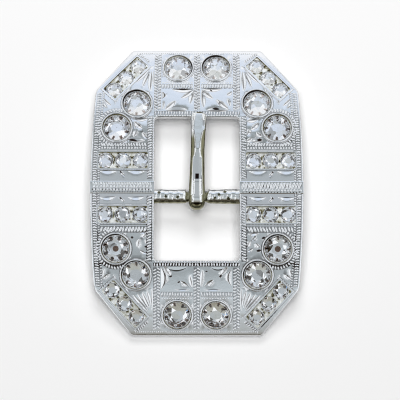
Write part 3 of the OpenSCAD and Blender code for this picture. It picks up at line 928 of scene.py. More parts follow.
def quarter_borders(batch, sx, sy):
    # Cross bands of the end rails
    level_row(batch, sx, 0.9, 8.5, sy * 24.9, 0.62, sx * sy * 84, 1.14, 0.48, 0.22)
    level_row(batch, sx, 1.0, 8.4, sy * 25.85, 0.62, 10, 0.5, 0.42, 0.15)
    # Bands above and below the side trays
    if sy > 0:
        # Grey strokes between them: painted shade of the cuts' steep sides
        level_row(batch, sx, 0.9, 8.5, 24.9, 0.62, 80, 1.0, 0.22, 0.1, shift=0.5, dark=0.4)
        level_row(batch, sx, 11.8, 22.7, 10.25, 0.66, sx * 65, 0.95, 0.5, 0.24, bend=0.12)
        level_row(batch, sx, 11.8, 22.7, 9.47, 0.66, 84, 0.62, 0.5, 0.22)
    else:
        level_row(batch, sx, 11.8, 22.7, -9.9, 0.72, sx * -66, 1.5, 0.6, 0.24)
    # Rope round the outer bezels
    arc_row(batch, sx * SEATS[2][0], sy * SEATS[2][1], 4.36, *rope_angles(sx, sy), 0.66, 0.96, 0.52, 0.26)
    for start, end in TRAY_WRIGGLES:
        start, end = (sx * start[0], sy * start[1]), (sx * end[0], sy * end[1])
        row(batch, start, end, 0.6, 70, 0.85, 0.4, 0.14)
        # Grey strokes between them: painted shade of the cuts' steep sides, darker in the lower half
        row(batch, start, end, 0.6, 70, 0.8, 0.2, 0.08, shift=0.5, dark=0.4 if sy > 0 else 0.8)


def borders(material):
    """Rope, bead and wriggle borders round the window, the edge, the bezels and the panels."""
    batch = Batch()
    for sx in (-1, 1):
        side_borders(batch, sx)
    for sy in (-1, 1):
        # Over the window: a row of bars, and scallops at its edge
        level_row(batch, 1, -10.2, 10.2, sy * 18.05, 0.64, 84, 0.92, 0.43 - sy * 0.03, 0.24)
        level_row(batch, 1, -9.9, 9.9, sy * 17.42, 0.62, 0, 0.54, 0.4, 0.14)
        # Upright wriggle columns of the end rails
        for x, half in ((-9.4, 0.85), (9.4, 0.85), (0.0, 0.75)):
            herringbone(batch, x, sy * 18.7, sy * 32.8, half)
        # Fine wriggle along each end
        level_row(batch, 1, -14.2, 14.2, sy * 33.5, 0.5, 70, 0.5, 0.24, 0.07)
        # Grey strokes between them: painted shade of the cuts' steep sides
        level_row(batch, 1, -14.2, 14.2, sy * 33.5, 0.5, 70, 0.4, 0.16, 0.05, shift=0.5, dark=0.35)
        for sx in (-1, 1):
            quarter_borders(batch, sx, sy)
    batch.build("border_beads", "cast_silver", material, 60)


# Section of a belt: place along the strap, and height. Then its rows of strokes, on the left and on the right:
# place, pitch, turn, length, width, height, the height they stand on, and what else there is to them
BELT_HALF = 1.5
BELT_SECTION = [
    (-BELT_HALF - 0.06, -0.8), (-BELT_HALF, 0.04), (-BELT_HALF + 0.12, 0.16), (-BELT_HALF + 0.4, 0.26),
    (BELT_HALF - 0.34, 0.26), (BELT_HALF - 0.12, 0.2), (BELT_HALF, 0.05), (BELT_HALF + 0.06, -0.8),
]
BELT_STROKES = {
    -1: [
        (0.85, 0.62, -62, 0.9, 0.5, 0.22, 0.26, {"bend": 0.08}),
        (0.15, 0.8, 62, 0.85, 0.58, 0.22, 0.26, {}),
        (-0.62, 0.8, 84, 0.66, 0.58, 0.22, 0.26, {}),
        (-0.55, 0.8, 84, 0.4, 0.26, 0.05, 0.26, {"shift": 0.5, "dark": BLACK_SPOT}),
        (-1.12, 0.6, 0, 0.3, 0.2, 0.05, 0.25, {"dark": BLACK_SPOT}),
    ],
    1: [
        (0.35, 0.74, 72, 1.9, 0.66, 0.24, 0.26, {"bend": 0.1}),
        (0.25, 0.74, 72, 0.9, 0.22, 0.05, 0.26, {"shift": 0.5, "dark": BLACK_SPOT}),
        (-0.75, 0.74, 60, 0.66, 0.5, 0.17, 0.26, {"shift": 0.3}),
        (-1.12, 0.74, 0, 0.4, 0.26, 0.05, 0.25, {"dark": BLACK_SPOT}),
    ],
}


def belts(material):
    """Raised belt across each side rail, at the middle of the arch, with its rows of strokes."""
    parts, strokes = Batch(), Batch()
    inner, outer = WINDOW_X - 0.02, HALF_WIDTH
    # Both ends sag a little where they meet the rounded edges
    stations = [(inner, -0.12)] + [(x, 0.0) for x in np.linspace(inner + 0.08, outer - 0.12, 30)] + [(outer, -0.15)]
    for sx in (-1, 1):
        points = [lift([(sx * x, y)], h + (sag if h > 0 else 0)) for x, sag in stations for y, h in BELT_SECTION]
        parts.add(np.vstack(points), tube(len(BELT_SECTION), len(stations), flip=sx > 0))
        for y, *stroke, more in BELT_STROKES[sx]:
            level_row(strokes, sx, 10.5, 24.5, y, *stroke, **more)
    parts.build("belts", "cast_silver", material, 35)
    strokes.build("belt_strokes", "cast_silver", material, 60)


# Settings

def revolve(profile, x, y, segments, wobble=0.0):
    """Closed ring or cup: the profile's radius and height turned about the face's outward direction."""
    centre, along, across, out = face_frame(x, y)
    angle = round_angles(segments)
    phase = RNG.uniform(0, 6.28, 3)
    bend = 1 + wobble * (np.sin(2 * angle + phase[0]) + 0.6 * np.sin(3 * angle + phase[1]))
    ray = rays(angle, along, across)
    rings = [centre + (ray * (r * bend)[:, None] if h > 0 else ray * r) + out * h for r, h in profile]
    m = len(profile)
    return np.vstack(rings), skin(segments, [(k * segments, (k + 1) % m * segments) for k in range(m)])


def bezels(silver, glue):
    """Round bezels with a rolled lip, each a cup, and the adhesive round the crystals in them."""
    cups, rings = Batch(), Batch()
    floor, bottom, cup_points, ring_points = 0.02, -1.2, 96, 64
    # Radius, height and darkness: the walls and the foot of the outer wall are painted dark as shade
    section = [
        (floor, bottom, 0.9), (BEZEL_R, bottom, 0.9), (BEZEL_R, 0.0, 0.9), (BEZEL_R, 0.2, 0.2),
        (BEZEL_R - 0.04, 0.34, 0.0), (BEZEL_R - 0.12, 0.43, 0.0), (BEZEL_R - 0.21, BEZEL_HEIGHT, 0.0),
        (SEAT_R + 0.12, 0.43, 0.1), (SEAT_R + 0.04, 0.36, 0.7), (SEAT_R, 0.24, 0.9),
        (SEAT_R, -SEAT_DEPTH, 0.9), (floor, -SEAT_DEPTH, 0.9),
    ]
    profile, dark = [(r, h) for r, h, _ in section], [tone for _, _, tone in section]
    fill = [(LARGE_R + 0.05, -0.8), (SEAT_R + 0.02, -0.8), (SEAT_R + 0.02, 0.16), (SEAT_R - 0.06, 0.06),
            (LARGE_R + 0.05, 0.03)]
    lip = slice(7, 10)

    def shadow_side(segments, darkest_turn):
        """How deep the painted shadow crescent is round a seat, from 0 to 1: darkest a quarter turn past this angle.
        """
        return 0.5 + 0.5 * np.sin(round_angles(segments) - darkest_turn)

    for sx, sy in QUARTERS:
        for k, (x, y) in enumerate(SEATS):
            # The painted shadow crescent is darkest at the upper left; in the upper left end bezel at the lower right
            darkest_turn = -1.9 if (sx, sy, k) == (-1, 1, 0) else 0.6
            shadow_depth = 0.2 if (sy, k) in ((-1, 0), (1, 2)) else 0.8
            cup, faces = revolve(profile, sx * x, sy * y, cup_points, wobble=0.004)
            # Lower bezels darker than upper ones, and the inner lip darkened by the crescent: painted shade
            shade = np.outer(dark, np.full(cup_points, 1.0 if sy < 0 else 0.8))
            shade[lip] += shadow_depth * shadow_side(cup_points, darkest_turn) ** 3
            cups.add(cup, faces, shade.ravel())
            # The adhesive is yellowed all round, and darkened by the painted shadow crescent
            ring, faces = revolve(fill, sx * x, sy * y, ring_points)
            shadowed = shadow_side(ring_points, darkest_turn)
            rings.add(ring, faces, np.tile(0.45 + 0.55 * shadowed + shadow_depth * shadowed ** 3, len(fill)))
    cups.build("bezels", "cast_silver", silver, 40)
    rings.build("bezel_glue", "setting_glue", glue, 40)


def tray_crystals(x, y, turn):
    c, s = cos_sin(turn)
    return [(x + i * TRAY_PITCH * c, y + i * TRAY_PITCH * s) for i in (-1, 0, 1)]


TRAY_POINTS = 24
# How far below the face the rim, the tray's floor and the adhesive go, straight down
RIM_DEEP, FLOOR_DEEP, BED_DEEP = 0.9, 0.88, 0.46
# Bevel along the rim's outer edge: how wide, and how high its foot is, as a share of the rim
BEVEL, BEVEL_FOOT = 0.11, 0.45
# Where painted shade below the upper rim falls on the adhesive, beyond the middle of a tray, and over how much it
# turns
SHADE_FROM, SHADE_OVER = 1.45, 0.3
# Painted black shade in the lower corner of one tray's adhesive: from its middle, and its radius
CORNER_SHADE = (-4.7, -3.6, 0.9)


def tray_rim(rims, x, y, turn):
    """Thin rim of a tray, lower along its outer edge, and the floor inside it."""
    outer, lip, inner = (tray_loop(x, y, turn, inset, corner, TRAY_POINTS)
                         for inset, corner in ((0.0, 0.25), (BEVEL, 0.18), (TRAY_RIM, 0.35)))
    middle = outer.mean(axis=0)

    def top(points):
        within = inside(middle + (points - middle) * 0.998, lip)
        return lift(points, np.where(within, TRAY_HEIGHT, TRAY_HEIGHT * BEVEL_FOOT))

    rims.add(*slab([outer, lip, inner], [inner], [], top, lambda p: drop(p, RIM_DEEP)))
    floor = tray_loop(x, y, turn, 0.25, 0.3, TRAY_POINTS)
    rims.add(*slab([floor], [], [], lambda p: drop(p, TRAY_DEPTH), lambda p: drop(p, FLOOR_DEEP)))


def tray_bed(beds, x, y, turn, corner_shade):
    """Adhesive round a tray's three crystals; painted black shade in gaps at their edges and perhaps its lower
    corner, shade below its rim.
    """
    spots = tray_crystals(x, y, turn)
    holes = [ring_loop(px, py, SMALL_R + 0.02, 40) for px, py in spots]
    edge = tray_loop(x, y, turn, TRAY_RIM - 0.02, 0.35, TRAY_POINTS)
    fill = grid_points(edge.min(axis=0), edge.max(axis=0), 0.3, np.vstack([edge] + holes))

    def top(points):
        near = np.min([np.hypot(*(points - spot).T) for spot in spots], axis=0)
        wave = 0.05 * np.sin(points[:, 0] * 3.1 + x) * np.sin(points[:, 1] * 2.7 + y)
        return lift(points, np.where(near > SMALL_R + 0.1, 0.02 + wave, 0.06))

    bed, faces = slab([edge] + holes, holes, fill, top, lambda p: drop(p, BED_DEEP))
    c, s = cos_sin(turn)
    dx, dy = (bed[:, :2] - (x, y)).T
    # Painted shade below the upper rim
    shade = np.clip((c * dy - s * dx - SHADE_FROM) / SHADE_OVER, 0, 0.95)
    if corner_shade:
        gap_x, gap_y, gap_r = CORNER_SHADE
        shade = np.where(np.hypot(dx - gap_x, dy - gap_y) < gap_r, GAP_SHADE, shade)
    for k, spot in enumerate(spots):
        dx, dy = (bed[:, :2] - spot).T
        gaps = np.cos(7 * np.arctan2(dy, dx) + 2.1 * k + x + y) > 0.55
        shade = np.where(gaps & (np.hypot(dx, dy) < SMALL_R + 0.06), GAP_SHADE, shade)
    beds.add(bed, faces, shade)


def trays(silver, glue):
    """Long trays: a thin rim round a pocket, and the adhesive between the three crystals."""
    rims, beds = Batch(), Batch()
    for sx, sy in QUARTERS:
        for x, y, turn in TRAYS:
            place = sx * x, sy * y, sx * sy * turn
            tray_rim(rims, *place)
            tray_bed(beds, *place, corner_shade=sx < 0 < sy and turn)
    rims.build("tray_rims", "cast_silver", silver, 30)
    beds.build("tray_glue", "setting_glue", glue, 40)


# How far above the floor of its seat the foil of a crystal begins and ends, and how far out from its flanks
FOIL_LOW, FOIL_HIGH = 0.01, 0.045
FOIL_IN, FOIL_OUT = 0.012, 0.035
# Foil of a large and of a small crystal: depth of its seat, radius of the crystal, radii of the foil's points and
# between which of them it may carry wear and painted dark reflections, as shares of that radius, and the number
# of points round it
LARGE_FOIL = (SEAT_DEPTH, LARGE_R, (0.02, 0.2, 0.24, 0.5, 0.57, 0.6, 0.74, 0.77, 0.9), (0.56, 0.78), 64)
SMALL_FOIL = (TRAY_DEPTH, SMALL_R, (0.02, 0.5, 0.56, 0.6, 0.76, 0.8, 0.9), (0.58, 0.78), 32)


def foil_plate(x, y, depth, radius, shares, wear_and_reflection, n):
    """Round plate below a crystal, how far round and out each of its points is, and which may carry wear and painted
    reflections.
    """
    centre, along, across, out = face_frame(x, y)
    angle = round_angles(n)
    ray = rays(angle, along, across)
    radii = radius * np.array(shares)
    points = [centre + ray * r + out * (level - depth) for level in (FOIL_HIGH, FOIL_LOW) for r in radii]
    m = len(radii)
    faces = []
    for k in range(0, (m - 1) * n, n):
        for i in range(n):
            a, b = k + i, k + (i + 1) % n
            faces += [(a, a + n, b + n, b), (b + m * n, b + n + m * n, a + n + m * n, a + m * n)]
    last = (m - 1) * n
    faces += skin(n, [(0, m * n)]) + skin(n, [(last, m * n + last)], flip=True)
    turn, reach = (np.tile(values.ravel(), 2) for values in np.meshgrid(angle, radii))
    return np.vstack(points), faces, turn, reach, (reach > wear_and_reflection[0] * radius) & (reach < wear_and_reflection[1] * radius)


def foils(material):
    """Foil behind every crystal: a plate below its flat back, rubbed through in places, with painted dark facet
    reflections.
    """
    batch = Batch()
    for sx, sy in QUARTERS:
        for k, (x, y) in enumerate(SEATS):
            points, faces, turn, reach, band = foil_plate(sx * x, sy * y, *LARGE_FOIL)
            # Dark dashes round the table: painted dark reflections of the facets
            wear_and_reflection = np.where(band & (np.cos(8 * (turn + 0.3 * k + sx)) > 0.7), BLACK_SPOT, 0.0)
            if sy < 0 and k == 2:
                # A dark spot in the middle
                wear_and_reflection = np.maximum(wear_and_reflection, np.where(reach < 0.22 * LARGE_R, 1.16, 0.0))
            if sy < 0 and k == 0:
                # Brown and dark patches along the lower edge
                low = band & (np.abs(turn - 1.5 * np.pi) < 0.85) & (np.cos(13 * turn) > -0.3)
                wear_and_reflection = np.maximum(wear_and_reflection, np.where(low, np.where(np.cos(6.5 * turn + sx) > 0.2, 0.9, BLACK_SPOT), 0.0))
            if sy < 0 and k == 1:
                # No more than brown at the lower left
                wear_and_reflection = np.where(np.abs(turn - 4.4) < 0.45, np.minimum(wear_and_reflection, 0.95), wear_and_reflection)
            # The dashes of the upper stones are fainter
            batch.add(points, faces, wear_and_reflection * (1.0 if sy < 0 or k == 2 else 0.45))
        for tray_x, tray_y, tray_turn in TRAYS:
            for k, (x, y) in enumerate(tray_crystals(sx * tray_x, sy * tray_y, sx * sy * tray_turn)):
                points, faces, turn, reach, band = foil_plate(x, y, *SMALL_FOIL)
                # Dark spots round the table: painted dark reflections of the facets, darker on the lower stones
                spot = band & (np.cos(5 * (turn + 0.7 * k + sx)) > 0.75)
                batch.add(points, faces, np.where(spot, 1.4 if sy < 0 else 0.6, 0.0))
    batch.build("foils", "crystal", material, 40)


def foil_bands(material):
    """Foil wrapped round the flanks of every crystal, below its girdle, as one closed band."""
    batch = Batch()
    n = 64
    at = np.linspace(-np.pi, np.pi, n, endpoint=False)
    for node_name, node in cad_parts.items():
        if "crystal" not in node_name:
            continue
        points = np.array([v.co[:] for v in node.data.vertices]) / MM
        centre, along, across, out = face_frame(*points.mean(axis=0)[:2])
        u, v, height = ((points - centre) @ axis for axis in (along, across, out))
        centre = centre + along * u.mean() + across * v.mean()
        reach, base = np.hypot(u, v), height.min()
        foot = height < base + 0.05
        girdle = (height > base + 0.1) & (reach > 0.97 * reach[foot].max())
        rings = []
        for part, level in ((girdle, 0.04), (foot, base + 0.01)):
            angle = np.arctan2(v[part], u[part])
            order = np.argsort(angle)
            rings.append((np.interp(at, angle[order], reach[part][order], period=2 * np.pi), level))
        ray = rays(at, along, across)
        points = [centre + ray * (r + grow)[:, None] + out * level
                  for grow in (FOIL_IN, FOIL_OUT) for r, level in rings]
        faces = skin(n, [(0, n), (n, 3 * n)]) + skin(n, [(2 * n, 3 * n), (0, 2 * n)], flip=True)
        batch.add(np.vstack(points), faces)
    batch.build("foil_bands", "crystal", material, 12)


# Bar and tongue

WAIST_END = 3.2
# By distance from the middle: radius of the bar's waist
WAIST = [(2.1, WAIST_R), (2.3, 1.5), (2.7, 1.7), (WAIST_END, BAR_R_LEFT)]
# How much the file took off at most, and how far from the middle that begins
UNEVEN, BEARING = 0.11, 2.2
# Small dark pits along the top of the bar: place, and angle in radians; and their half sizes
PITS = ((-7.3, 1.75), (-4.5, 1.8), (-8.9, 1.2), (4.3, 1.9), (5.2, 1.5), (7.4, 2.0), (6.6, 1.1))
PIT_LENGTH, PIT_TURN, PIT_DARK = 0.35, 0.2, 1.3


def bar_radius(x, reach):
    if abs(x) <= WAIST_END:
        return float(look_up(WAIST, abs(x)))
    return BAR_R_LEFT + (BAR_R_RIGHT - BAR_R_LEFT) * max(x - WAIST_END, 0.0) / (reach - WAIST_END)


def centre_bar(material):
    """Cast bar, uneven as the file left it, with the waist that the tongue turns on."""
    reach = WINDOW_X + 3.5
    xs = np.concatenate([np.linspace(-reach, -WAIST_END, 70), np.linspace(-3.1, 3.1, 40),
                         np.linspace(WAIST_END, reach, 70)])
    segments = 48
    angle = round_angles(segments)
    # Painted dark along the under side: painted reflection of the dark surroundings below
    under = np.clip((-np.cos(angle - 0.35) - 0.2) / 0.3, 0, 1)
    points, shade = [], []
    for x in xs:
        bumps = np.sin(x * 2.3 + 2 * angle) * np.sin(angle + x * 1.1) + 0.5 * np.sin(3 * angle - x * 3.4)
        bumps = bumps + 0.5 * np.sin(4 * angle + x * 5.3) * np.sin(x * 4.1)
        r = bar_radius(x, reach) - (0.0 if abs(x) < BEARING else UNEVEN) * (0.5 + 0.4 * bumps)
        points.append(np.column_stack([np.full(segments, x), BAR_Y + r * np.cos(angle), BAR_Z + r * np.sin(angle)]))
        pits = [np.where(((x - at) / PIT_LENGTH) ** 2 + ((angle - turn) / PIT_TURN) ** 2 < 1, PIT_DARK, 0.0)
                for at, turn in PITS]
        shade.append(np.max([under] + pits, axis=0))
    make_object("centre_bar", np.vstack(points), tube(segments, len(xs), flip=False), "buckle_frame",
                material, 40, np.concatenate(shade))


# The tongue, measured from the bar's axis along the strap: height of its ground top, half width of that flat,
# half width of the tongue, height of its under side
TONGUE_TOP = [
    (-1, 3.25), (0.2, 3.31), (2.9, 3.31), (3.1, 3.26), (5.2, 3.24), (10.6, 3.06), (11, 3.02), (19.6, 1.26),
    (20, 1.04),
]
TONGUE_FLAT = [
    (-2, 0.9), (0.2, 0.8), (2.9, 0.8), (3.1, 0.95), (5.3, 1.05), (8.7, 0.95), (9.7, 0.6), (10.5, 0.28),
    (12.6, 0.5), (15.2, 1.05), (16.0, 1.45), (17.5, 1.5), (19.2, 1.4), (20, 0.6),
]
TONGUE_SIDE = [
    (-4, 1.9), (0, 1.9), (5, 1.79), (10.5, 1.64), (14, 1.68), (17, 1.8), (18.9, 1.78), (19.5, 1.58),
    (19.85, 1.2), (20, 0.7),
]
TONGUE_UNDER = [(-1, EYE_R), (2.36, EYE_R), (18.6, 0.82), (20, 0.56)]
# How steeply the ground flat falls away to its left and to its right, and how far from the middle that begins
TONGUE_FALL_LEFT = [(3.0, 0.06), (9, 0.05), (11, 0.0), (14.6, 0.0), (15.4, 0.17), (20, 0.2)]
TONGUE_FALL_RIGHT = [(3.0, 0.055), (9, 0.065), (11, 0.0), (15.8, 0.0), (16.6, 0.14), (20, 0.16)]
TONGUE_CREASE = [(11, 0.42), (12.5, 0.42), (15.4, 0.95), (20, 0.65)]
# How far in from the side it is painted dark: painted reflection of dark surroundings
TONGUE_SIDE_SHADE = [(0, 0.65), (5, 0.75), (8, 1.0), (13.5, 1.05), (15, 0.75), (20, 0.6)]
TONGUE_LEAN = 0.45
TONGUE_REACH = 20.0
# Where the sides meet the under side, as a share of the height
TONGUE_BELLY = 0.42
# The dent of the ground top, from and to, and how deep
DENT_FROM, DENT_TO, DENT_DEPTH = 3.75, 4.95, 0.16
# Points of half a section
HALF_COUNT = 25
# Where the neck ends and the facets part, where the left side is clean, and where the painted shadow at the tip
# begins
NECK_END, LEFT_CLEAN, TIP_SHADOW = 11, 15.5, 19.7
# The seam where the bent wire meets the arm again, in degrees about the bar
SEAM = 127


def section(half, flat, top, under, crease, darken, dent=0.0):
    """Section of the tongue: nearly flat below, round sides, the ground flat above, which dent may push in.

    Gives back how far to the side and up each point is, and how dark: the sides are painted dark,
    a painted reflection of dark surroundings, as far in as asked.
    """
    middle = under + TONGUE_BELLY * (top - under)
    dome = (top - middle) / math.sqrt(max(1 - (flat / half) ** 2, 0.05))
    low = [(half * math.cos(a) ** 0.8, middle - (middle - under) * math.sin(a))
           for a in np.radians(np.linspace(0, 75, 7)[1:])]
    side = [(half * math.cos(a), middle + dome * math.sin(a)) for a in np.radians(np.linspace(0, 88, 14))]
    path = [(half * 0.2, under)] + low[::-1] + [(x, z) for x, z in side if z < top - 1e-4] + [(flat, top)]
    path += [(min(crease, flat * 0.7), top), (min(crease - 0.06, flat * 0.5), top), (0.0, top)]
    path = np.array(path)
    # The same number of points at every station, the last three as they are
    step = np.concatenate([[0], np.cumsum(np.hypot(*np.diff(path, axis=0).T))])
    marks = np.concatenate([np.linspace(0, step[-4], HALF_COUNT - 3), step[-3:]])
    path = np.column_stack([np.interp(marks, step, path[:, 0]), np.interp(marks, step, path[:, 1])])
    path[-2:, 1] -= dent
    x, z = np.vstack([path, path[::-1][1:] * (-1, 1)]).T
    return x, z, np.clip((np.abs(x) - max(half - darken, flat)) / 0.25, 0, 1)


def loop_station(degrees):
    """Points and darkness of the tongue where it is bent round the bar, at this angle about the bar."""
    half, crease, darken, eye_wall = 1.9, 0.42, 0.85, 1.95
    flat = 0.8 if degrees < 125 else max(0.8 - (degrees - 125) / 20, 0.25)
    x, z, dark = section(half, flat, LOOP_R, EYE_R, crease, darken)
    # Painted shade on the under side
    dark = np.where(z < EYE_R + TONGUE_BELLY * (LOOP_R - EYE_R), 1.0, dark)
    # Dark past the seam, and darkest in it
    dark = np.maximum(dark, np.clip((degrees - SEAM + 6) / 4, 0, 1))
    dark = dark + np.clip(1 - abs(degrees - SEAM) / 5, 0, 1) * (np.abs(x) < 1.2)
    # Narrower and rounder on the side away from the tip
    c, s = cos_sin(degrees)
    beyond = np.maximum(z * abs(min(c, 0)) - EYE_R, 0)
    limit = np.sqrt(np.maximum(eye_wall ** 2 - beyond ** 2, 0.05))
    return np.clip(x, -limit, limit), z * c, z * s, dark


def arm_station(at):
    """Points and darkness of the tongue's arm, at this distance from the bar's axis."""
    half, flat, top, under, crease, darken = (look_up(table, at) for table in (
        TONGUE_SIDE, TONGUE_FLAT, TONGUE_TOP, TONGUE_UNDER, TONGUE_CREASE, TONGUE_SIDE_SHADE))
    dented = DENT_FROM <= at <= DENT_TO
    x, z, dark = section(half, flat, top, under, crease, darken, DENT_DEPTH if dented else 0.0)
    left, belly = x < 0, under + TONGUE_BELLY * (top - under)
    fall = np.where(left, look_up(TONGUE_FALL_LEFT, at), look_up(TONGUE_FALL_RIGHT, at))
    level = crease if at > NECK_END else 0.0
    z = z - np.where(z > belly, fall * np.clip(np.abs(x) - level, 0, max(flat - level, 0)), 0)
    dark = dark * np.where(left, np.clip((LEFT_CLEAN - at) / 2, 0, 1), np.clip((TONGUE_REACH - at) / 2, 0.3, 1))
    # A painted shadow across the tip, where it meets the rail
    if at > TIP_SHADOW:
        dark = np.where(x > -0.7 + 0.3 * math.sin(40 * at), 1.3, dark)
    # Painted shade on the under side
    dark = np.where(z < belly, 1.0, dark)
    # Painted black shade in the dent
    if dented:
        dark = np.where(np.abs(x) < 0.4, GAP_SHADE, dark)
    return x + TONGUE_LEAN * (at / TONGUE_REACH) ** 1.5, np.full(len(x), at), z, dark


def tongue(material):
    """Tongue bent round the bar from round wire, its top ground in two facets that meet in a narrow neck."""
    dent = [DENT_FROM - 0.06, DENT_FROM, DENT_TO, DENT_TO + 0.06]
    stations = [loop_station(a) for a in np.linspace(322, 94, 90)]
    stations += [arm_station(d) for d in np.sort(np.concatenate([np.linspace(0.0, TONGUE_REACH, 110), dent]))]
    points = np.vstack([np.column_stack([x, BAR_Y + y, BAR_Z + z]) for x, y, z, _ in stations])
    obj = make_object("tongue_wire", points, tube(2 * HALF_COUNT - 1, len(stations), flip=True), "buckle_tongue",
                      material, 24, np.concatenate([dark for *_, dark in stations]))
    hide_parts("tongue")


# Stage, light and camera

# The tent of light by direction along Y, from -1 behind the viewer to 1 beyond the top: as the metal mirrors it,
# as the crystals gather it, and below the horizon
SKY = [
    (-1.0, (0.08, 0.07, 0.05)), (-0.9, (0.09, 0.08, 0.06)), (-0.78, (0.28, 0.27, 0.24)),
    (-0.6, (0.51, 0.545, 0.555)), (-0.47, (0.55, 0.61, 0.64)), (-0.36, (0.31, 0.34, 0.35)),
    (-0.1, (0.40, 0.44, 0.46)), (0.06, (0.43, 0.46, 0.49)), (0.2, (0.41, 0.45, 0.47)),
    (0.34, (0.40, 0.43, 0.45)), (0.41, (0.2, 0.225, 0.225)), (0.46, (0.2, 0.225, 0.225)),
    (0.53, (0.48, 0.53, 0.56)), (0.58, (0.62, 0.70, 0.80)), (0.65, (0.70, 0.78, 0.89)),
    (0.76, (0.73, 0.80, 0.91)), (0.81, (0.70, 0.77, 0.88)), (0.86, (1.0, 1.0, 1.0)), (1.0, (0.92, 0.95, 0.98)),
]
GEM_SKY = [
    (-1.0, (0.25, 0.22, 0.15)), (-0.7, (0.45, 0.46, 0.42)), (-0.5, (0.46, 0.50, 0.53)),
    (-0.33, (0.42, 0.45, 0.47)), (-0.19, (0.55, 0.60, 0.64)), (0.0, (0.66, 0.72, 0.80)),
    (0.2, (0.45, 0.47, 0.46)), (0.28, (0.64, 0.69, 0.75)), (0.45, (0.70, 0.77, 0.88)),
    (0.57, (0.74, 0.81, 0.93)), (0.66, (0.5, 0.52, 0.5)), (0.74, (0.70, 0.77, 0.87)),
    (0.9, (1.0, 1.0, 1.0)), (1.0, (0.6, 0.62, 0.6)),
]
GROUND = [
    (-1.0, (0.14, 0.12, 0.09)), (-0.5, (0.28, 0.26, 0.21)), (0.0, (0.42, 0.42, 0.38)),
    (0.4, (0.55, 0.56, 0.54)), (1.0, (0.6, 0.62, 0.63)),
]


def world_light():
    """Soft tent of light: bluish white overhead and beyond the top, grey and then dark behind the viewer."""
    world = bpy.data.worlds.new("tent")
    bpy.context.scene.world = world
    world.use_nodes = True
    # The tent is for the metal; the floor has its own lamps
    world.cycles_visibility.diffuse = False
    nodes = Nodes(world.node_tree, "Generated")
    remap, mix = nodes.remap, nodes.mix
    x, y, z = nodes.add("SeparateXYZ", {"Vector": nodes.place})
    aside = nodes.math("ABSOLUTE", x, 0.0)
    # remap clamps, so every ramp keeps its end values beyond its ends
    along = remap(y, -1.0, 1.0)
    sky, gem, ground = (nodes.ramp(along, [((at + 1) / 2, colour) for at, colour in tones])
                        for tones in (SKY, GEM_SKY, GROUND))
    # Gaps between the panels of the tent, off to both sides only
    panels = mix(remap(nodes.noise(7.0, 1.0), 0.40, 0.43), (0.05, 0.04, 0.035), (0.95, 0.98, 1.0))
    panels = mix(remap(y, -0.92, -0.75), sky, panels)
    sky = mix(remap(aside, 0.14, 0.26), sky, panels)
    # The sky begins lower at the sides
    sideways = nodes.math("MULTIPLY", remap(aside, 0.25, 0.4), remap(z, -0.02, 0.02))
    both = mix(nodes.math("MAXIMUM", remap(z, 0.1, 0.3), sideways), ground, sky)
    # What the crystals gather has more sparkle: small dark and bright windows beside their own run of tones
    red, green, blue = nodes.add("SeparateColor", {"Color": nodes.cells(6.0)})
    spark = mix(remap(red, 0.70, 0.72), gem, (1.1, 1.12, 1.15))
    # The dark windows beyond the top are less dark
    dark = nodes.math("MULTIPLY", remap(green, 0.80, 0.82), remap(y, 0.05, 0.4, 1.0, 0.62))
    spark = mix(dark, spark, (0.03, 0.022, 0.012))
    # A few coloured ones, beside the lower stones only
    lower = remap(y, 0.0, 0.1, 1.0, 0.0)
    for chosen, colour in ((remap(blue, 0.965, 0.97), (0.2, 0.42, 0.8)),
                           (remap(blue, 0.02, 0.023, 1.0, 0.0), (0.6, 0.35, 0.15))):
        spark = mix(nodes.math("MULTIPLY", chosen, lower), spark, colour)
    gem = mix(remap(aside, 0.08, 0.16), gem, spark)
    in_crystal = nodes.add("LightPath", {})["Is Transmission Ray"]
    nodes.feed(world.node_tree.nodes["Background"], {"Color": mix(in_crystal, both, gem), "Strength": 1.0})


def stage():
    """The pale floor that the buckle lies on."""
    material, _, shade = new_material("pale_floor")
    shade({"Base Color": (0.93, 0.93, 0.93), "Roughness": 0.9, "Specular IOR Level": 0.0})
    side, low = 1.5, -0.00002
    mesh = bpy.data.meshes.new("floor")
    mesh.from_pydata([(-side, -side, low), (side, -side, low), (side, side, low), (-side, side, low)], [],
                     [(0, 1, 2, 3)])
    mesh.materials.append(material)
    floor = bpy.data.objects.new("floor", mesh)
    bpy.context.scene.collection.objects.link(floor)


def lamp(name, size, energy, place):
    """Square lamp that shines straight down, and that nothing mirrors."""
    light = bpy.data.lights.new(name, "AREA")
    light.shape = "SQUARE"
    light.size = size
    light.energy = energy
    box = bpy.data.objects.new(name, light)
    box.location = place
    box.visible_glossy = False
    box.visible_transmission = False
    bpy.context.scene.collection.objects.link(box)
    return box


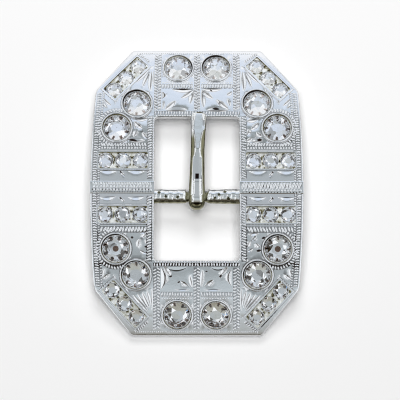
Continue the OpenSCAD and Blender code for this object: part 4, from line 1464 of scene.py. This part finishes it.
def camera():
    """Camera above the buckle, 82 degrees up from the table and a little towards its lower end."""
    distance, rise, roll = 0.388, math.radians(82), math.radians(0.141)
    crown = Vector((0, 0, CROWN_Z * MM))
    offset = Vector((0, -math.cos(rise), math.sin(rise))) * distance
    data = bpy.data.cameras.new("camera")
    data.lens = 148.7
    data.sensor_width = 36
    data.clip_start = 0.01
    # The crown of the arch lies at this pixel of the 400 pixel frame
    crown_px, crown_py, frame_px = 196.84, 187.3, 400
    data.shift_x = (frame_px / 2 - crown_px) / frame_px
    data.shift_y = -(frame_px / 2 - crown_py) / frame_px
    cam = bpy.data.objects.new("camera", data)
    turn = (-offset).to_track_quat("-Z", "Y").to_matrix().to_4x4() @ Matrix.Rotation(roll, 4, "Z")
    cam.matrix_world = Matrix.Translation(crown + offset) @ turn
    bpy.context.scene.collection.objects.link(cam)
    bpy.context.scene.camera = cam
    bpy.context.scene.view_settings.view_transform = "Standard"


camera()
world_light()
stage()
softbox = lamp("softbox", 0.2, 1.1, (0.0, 0.31, 0.44))
softbox.rotation_euler = (-softbox.location).to_track_quat("-Z", "Y").to_euler()
# Wide soft light overhead, for the floor's own brightness
lamp("ceiling", 0.5, 7.5, (0.0, 0.0, 1.0))
silver = silver_material("cast_silver", (0.94, 0.95, 0.97), (0.10, 0.085, 0.075), 0.14, 0.000008, 0.00004)
# The polished metal's olive darkening colour paints the dark reflection on the sides and under sides of the bar and
# tongue
polished = silver_material("polished_silver", (0.94, 0.945, 0.945), (0.23, 0.22, 0.135), 0.10, 0.000004, 0.00006)
glass = glass_material()
foil = foil_material()
glue = glue_material()
casting(silver)
borders(silver)
belts(silver)
bezels(silver, glue)
trays(silver, glue)
foils(foil)
foil_bands(foil)
centre_bar(polished)
tongue(polished)
for node_name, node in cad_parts.items():
    if "crystal" in node_name:
        node.data.materials.clear()
        node.data.materials.append(glass)

# Light goes to and fro in a crystal many times before it comes out again
bpy.context.scene.cycles.glossy_bounces = 12
bpy.context.scene.cycles.max_bounces = 18
bpy.context.scene.cycles.transmission_bounces = 16
bpy.context.scene.cycles.filter_width = 1.0
